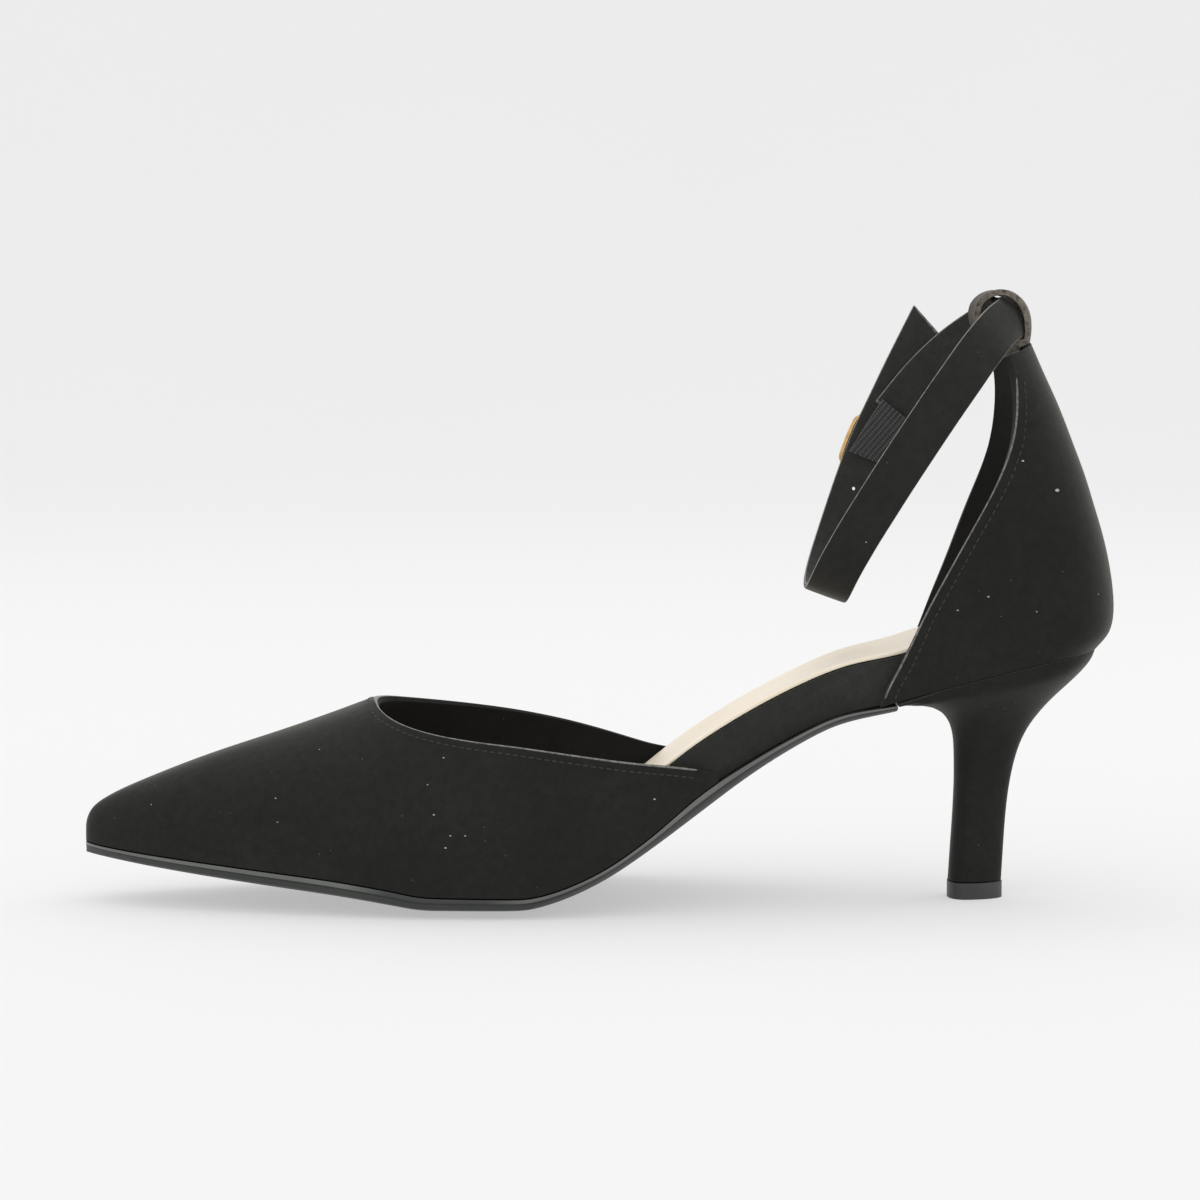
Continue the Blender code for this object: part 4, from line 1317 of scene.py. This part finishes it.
@dataclass
class AnkleStrap:
    """The ribbon of the strap, with its punched holes, its tunnel, its elastic and its buckle."""

    levels: int = 2
    metal_levels: int = 1
    crease: float = 0.8
    shade_degrees: float = 40.0
    band_degrees: float = 50.0
    metal_degrees: float = 80.0
    hole_sides: int = 20
    hole_radius: float = 0.00042
    hole_depth: float = 0.008
    holes: tuple[tuple[float, float, float], ...] = (
        (0.0579, 0.0267, 0.0825), (0.0599, 0.0271, 0.0895), (0.0622, 0.0275, 0.0965))
    hole_facing: tuple[float, float, float] = (-0.024, 0.998, -0.057)
    side_degrees: float = 50.0
    edge_width: float = 0.00016
    cut_facing: float = 0.8
    folds: tuple[Fold, ...] = (
        Fold((0.0972, -0.003, 0.1383), (0.0, 1.0, 0.0), (0.85, 0.0, 0.53), 0.0100, 0.0040, 0.0022),
        Fold((0.0918, 0.0095, 0.1412), (0.0, 1.0, 0.0), (0.0, 0.0, 1.0), 0.0045, 0.0030, 0.0021),
    )

    def dress_ribbon(self, strap: bpy.types.Object) -> None:
        """Gives the ribbon its finishes, with a thin raw line along its arrises.

        Args:
            strap: The bare ribbon.
        """
        dress(strap, [STRAP_SUEDE.build(), RAW_EDGE.build(), STRAP_BACK.build()])
        seams = Seams(strap.data, self.side_degrees)
        for index, group in enumerate(seams.group):
            place = Place.INSIDE if group == 1 else Place.OUTSIDE
            strap.data.polygons[index].material_index = place.value
        bevel_sharp(strap, self.side_degrees, self.edge_width, segments=1,
                    material=Place.EDGE.value)

    def punch(self, strap: bpy.types.Object) -> None:
        """Punches the holes through the strap's outer half.

        Args:
            strap: The ribbon.
        """
        facing = Vector(self.hole_facing).to_track_quat("Z", "Y")
        for place in self.holes:
            bpy.ops.mesh.primitive_cylinder_add(vertices=self.hole_sides, radius=self.hole_radius,
                                                depth=self.hole_depth, location=place,
                                                rotation=facing.to_euler())
            cutter = bpy.context.active_object
            cut = strap.modifiers.new("hole", "BOOLEAN")
            cut.object = cutter
            cut.operation = "DIFFERENCE"
            cut.solver = "EXACT"
            only(strap)
            bpy.ops.object.modifier_apply(modifier=cut.name)
            bpy.data.objects.remove(cutter)

    def build_ribbon(self) -> bpy.types.Object:
        """Builds the ribbon with its folds and its punched holes.

        Returns:
            The strap.
        """
        strap = copy_of("ankle_strap", "ankle_strap_suede")
        self.dress_ribbon(strap)
        smooth_over(strap, self.levels, sharp_degrees=self.side_degrees, crease=self.crease)
        press_folds(strap, self.folds)
        self.punch(strap)
        only(strap)
        bpy.ops.object.shade_smooth_by_angle(angle=math.radians(self.shade_degrees))
        present(strap, ["ankle_strap"])
        return strap

    def build_tunnel(self) -> None:
        """Builds the tunnel that holds the strap at the back, with its cut sides."""
        loop = copy_of("strap_loop", "tunnel_suede")
        dress(loop, [TUNNEL_SUEDE.build(), RING_EDGE.build()])
        for face in loop.data.polygons:
            face.material_index = int(abs(face.normal.y) > self.cut_facing)
        smooth_over(loop, self.levels, sharp_degrees=self.band_degrees)
        present(loop, ["strap_loop"])

    def build(self) -> bpy.types.Object:
        """Builds the strap, its tunnel, its elastic and its buckle.

        Returns:
            The strap.
        """
        strap = self.build_ribbon()
        self.build_tunnel()
        dressed_copy("elastic", "elastic_band", ELASTIC, self.levels,
                     self.band_degrees)
        for node, name in (("buckle", "buckle_frame"), ("buckle_prong", "buckle_pin")):
            dressed_copy(node, name, GOLD, self.metal_levels, self.metal_degrees)
        return strap


@dataclass(frozen=True)
class Speck:
    """One fleck of lint: its place seen from the inner side, and its size."""

    x: float
    z: float
    size: float


@dataclass
class Lint:
    """Pale flecks caught in the nap of the inner side."""

    far: float = -0.2
    stretch: tuple[float, float, float] = (1.25, 0.8, 0.45)
    specks: tuple[Speck, ...] = (
        Speck(-0.0752, 0.0270, 0.00040), Speck(-0.1053, 0.0242, 0.00035),
        Speck(-0.0360, 0.0371, 0.00045), Speck(-0.0381, 0.0244, 0.00050),
        Speck(-0.0343, 0.0197, 0.00045), Speck(-0.0309, 0.0197, 0.00040),
        Speck(-0.0354, 0.0169, 0.00050), Speck(0.0126, 0.0273, 0.00055),
        Speck(-0.0746, 0.0217, 0.00035), Speck(-0.0654, 0.0378, 0.00035),
        Speck(-0.0396, 0.0311, 0.00035), Speck(0.1060, 0.0982, 0.00110),
        Speck(0.0899, 0.0737, 0.00050), Speck(0.0829, 0.0705, 0.00045),
        Speck(0.1161, 0.0739, 0.00040), Speck(0.1066, 0.0581, 0.00050),
        Speck(0.0901, 0.0539, 0.00040), Speck(0.0978, 0.1051, 0.00060),
        Speck(0.0616, 0.0863, 0.00040), Speck(0.1010, 0.0703, 0.00035),
    )

    def build(self, carriers: Sequence[bpy.types.Object]) -> None:
        """Lays each fleck on the surface that shows there.

        Args:
            carriers: The suede pieces that may carry a fleck.
        """
        surfaces = [surface_of(piece) for piece in carriers]
        flecks = []
        for speck in self.specks:
            start = Vector((speck.x, self.far, speck.z))
            hits = [surface.ray_cast(start, Vector((0.0, 1.0, 0.0))) for surface in surfaces]
            hits = [hit for hit in hits if hit[0] is not None]
            if not hits:
                continue
            place, facing = min(hits, key=lambda hit: hit[3])[:2]
            bpy.ops.mesh.primitive_ico_sphere_add(subdivisions=1, radius=speck.size / 2,
                                                  location=place,
                                                  rotation=facing.to_track_quat("Z", "Y").to_euler())
            fleck = bpy.context.active_object
            with editing(fleck, "VERT"):
                bpy.ops.mesh.select_all(action="SELECT")
                bpy.ops.transform.resize(value=self.stretch, orient_type="LOCAL")
            flecks.append(fleck)
        whole = joined(flecks, "lint_flecks")
        dress(whole, [LINT.build()])
        present(whole)


@dataclass(frozen=True)
class SoftBox:
    """One soft light of the studio."""

    name: str
    place: tuple[float, float, float]
    size: float
    power: float

    def hang(self, aim: Vector) -> None:
        """Hangs the light and turns it to the shoe.

        Args:
            aim: The point that it shines on.
        """
        data = bpy.data.lights.new(self.name, "AREA")
        data.size = self.size
        data.energy = self.power
        lamp = bpy.data.objects.new(self.name, data)
        lamp.location = self.place
        lamp.rotation_euler = (aim - lamp.location).to_track_quat("-Z", "Y").to_euler()
        bpy.context.scene.collection.objects.link(lamp)


@dataclass
class Studio:
    """The pale floor, the soft lights and the camera."""

    eye: tuple[float, float, float] = (0.0, -0.870, 0.135)
    pitch_degrees: float = 4.2
    lens: float = 109.8
    sensor: float = 36.0
    floor_sides: int = 96
    floor_radius: float = 2.2
    floor_steps: int = 10
    floor_rise: float = 1.6
    floor_stretch: float = 1.5
    world_strength: float = 1.0
    view: str = "Standard"
    aim: tuple[float, float, float] = (0.0, 0.0, 0.06)
    boxes: tuple[SoftBox, ...] = (
        SoftBox("top_box", (0.0, 0.15, 1.3), 1.3, 2.2),
        SoftBox("front_box", (-0.5, -1.3, 0.9), 1.0, 1.5),
        SoftBox("back_left_box", (-1.1, 0.7, 0.7), 0.7, 1.2),
        SoftBox("back_right_box", (1.1, 0.6, 0.8), 0.7, 2.0),
    )

    def build(self) -> None:
        """Builds the floor, the lights and the camera."""
        bpy.context.scene.view_settings.view_transform = self.view
        self.lay_floor()
        self.light()
        self.place_camera()

    def lay_floor(self) -> None:
        """Lays a round floor that sweeps up at its rim, so that no horizon shows."""
        bpy.ops.mesh.primitive_circle_add(vertices=self.floor_sides, radius=self.floor_radius,
                                          fill_type="NGON")
        floor = bpy.context.active_object
        floor.name = "studio_floor"
        with editing(floor):
            bpy.ops.mesh.select_all(action="DESELECT")
            bpy.ops.mesh.select_non_manifold()
            for step in range(self.floor_steps):
                angle = math.radians(90.0 * (step + 0.5) / self.floor_steps)
                run = self.floor_rise / self.floor_steps * self.floor_stretch
                spread = 1 + run * math.cos(angle) / self.floor_radius
                bpy.ops.mesh.extrude_edges_move(
                    TRANSFORM_OT_translate={"value": (0.0, 0.0, run * math.sin(angle))})
                bpy.ops.transform.resize(value=(spread, spread, 1.0))
        only(floor)
        bpy.ops.object.shade_smooth()
        dress(floor, [FLOOR.build()])

    def light(self) -> None:
        """Sets the even surround and the soft boxes."""
        world = bpy.data.worlds.new("studio")
        bpy.context.scene.world = world
        world.use_nodes = True
        ground = world.node_tree.nodes["Background"]
        ground.inputs["Color"].default_value = (1.0, 1.0, 1.0, 1.0)
        ground.inputs["Strength"].default_value = self.world_strength
        for box in self.boxes:
            box.hang(Vector(self.aim))

    def place_camera(self) -> None:
        """Sets the camera at the photograph's angle."""
        data = bpy.data.cameras.new("camera")
        data.lens = self.lens
        data.sensor_width = self.sensor
        camera = bpy.data.objects.new("camera", data)
        camera.location = self.eye
        camera.rotation_euler = (math.radians(90.0 - self.pitch_degrees), 0.0, 0.0)
        bpy.context.scene.collection.objects.link(camera)
        bpy.context.scene.camera = camera


def main() -> None:
    """Builds the shoe and its studio."""
    logging.basicConfig(level=logging.INFO, format="%(message)s")
    Studio().build()
    Sole().build()
    Heel().build()
    Footbed().build()
    vamp = Vamp().build()
    quarter = Quarter().build()
    strap = AnkleStrap().build()
    Lint().build([vamp, quarter, strap])


if __name__ == "__main__":
    main()
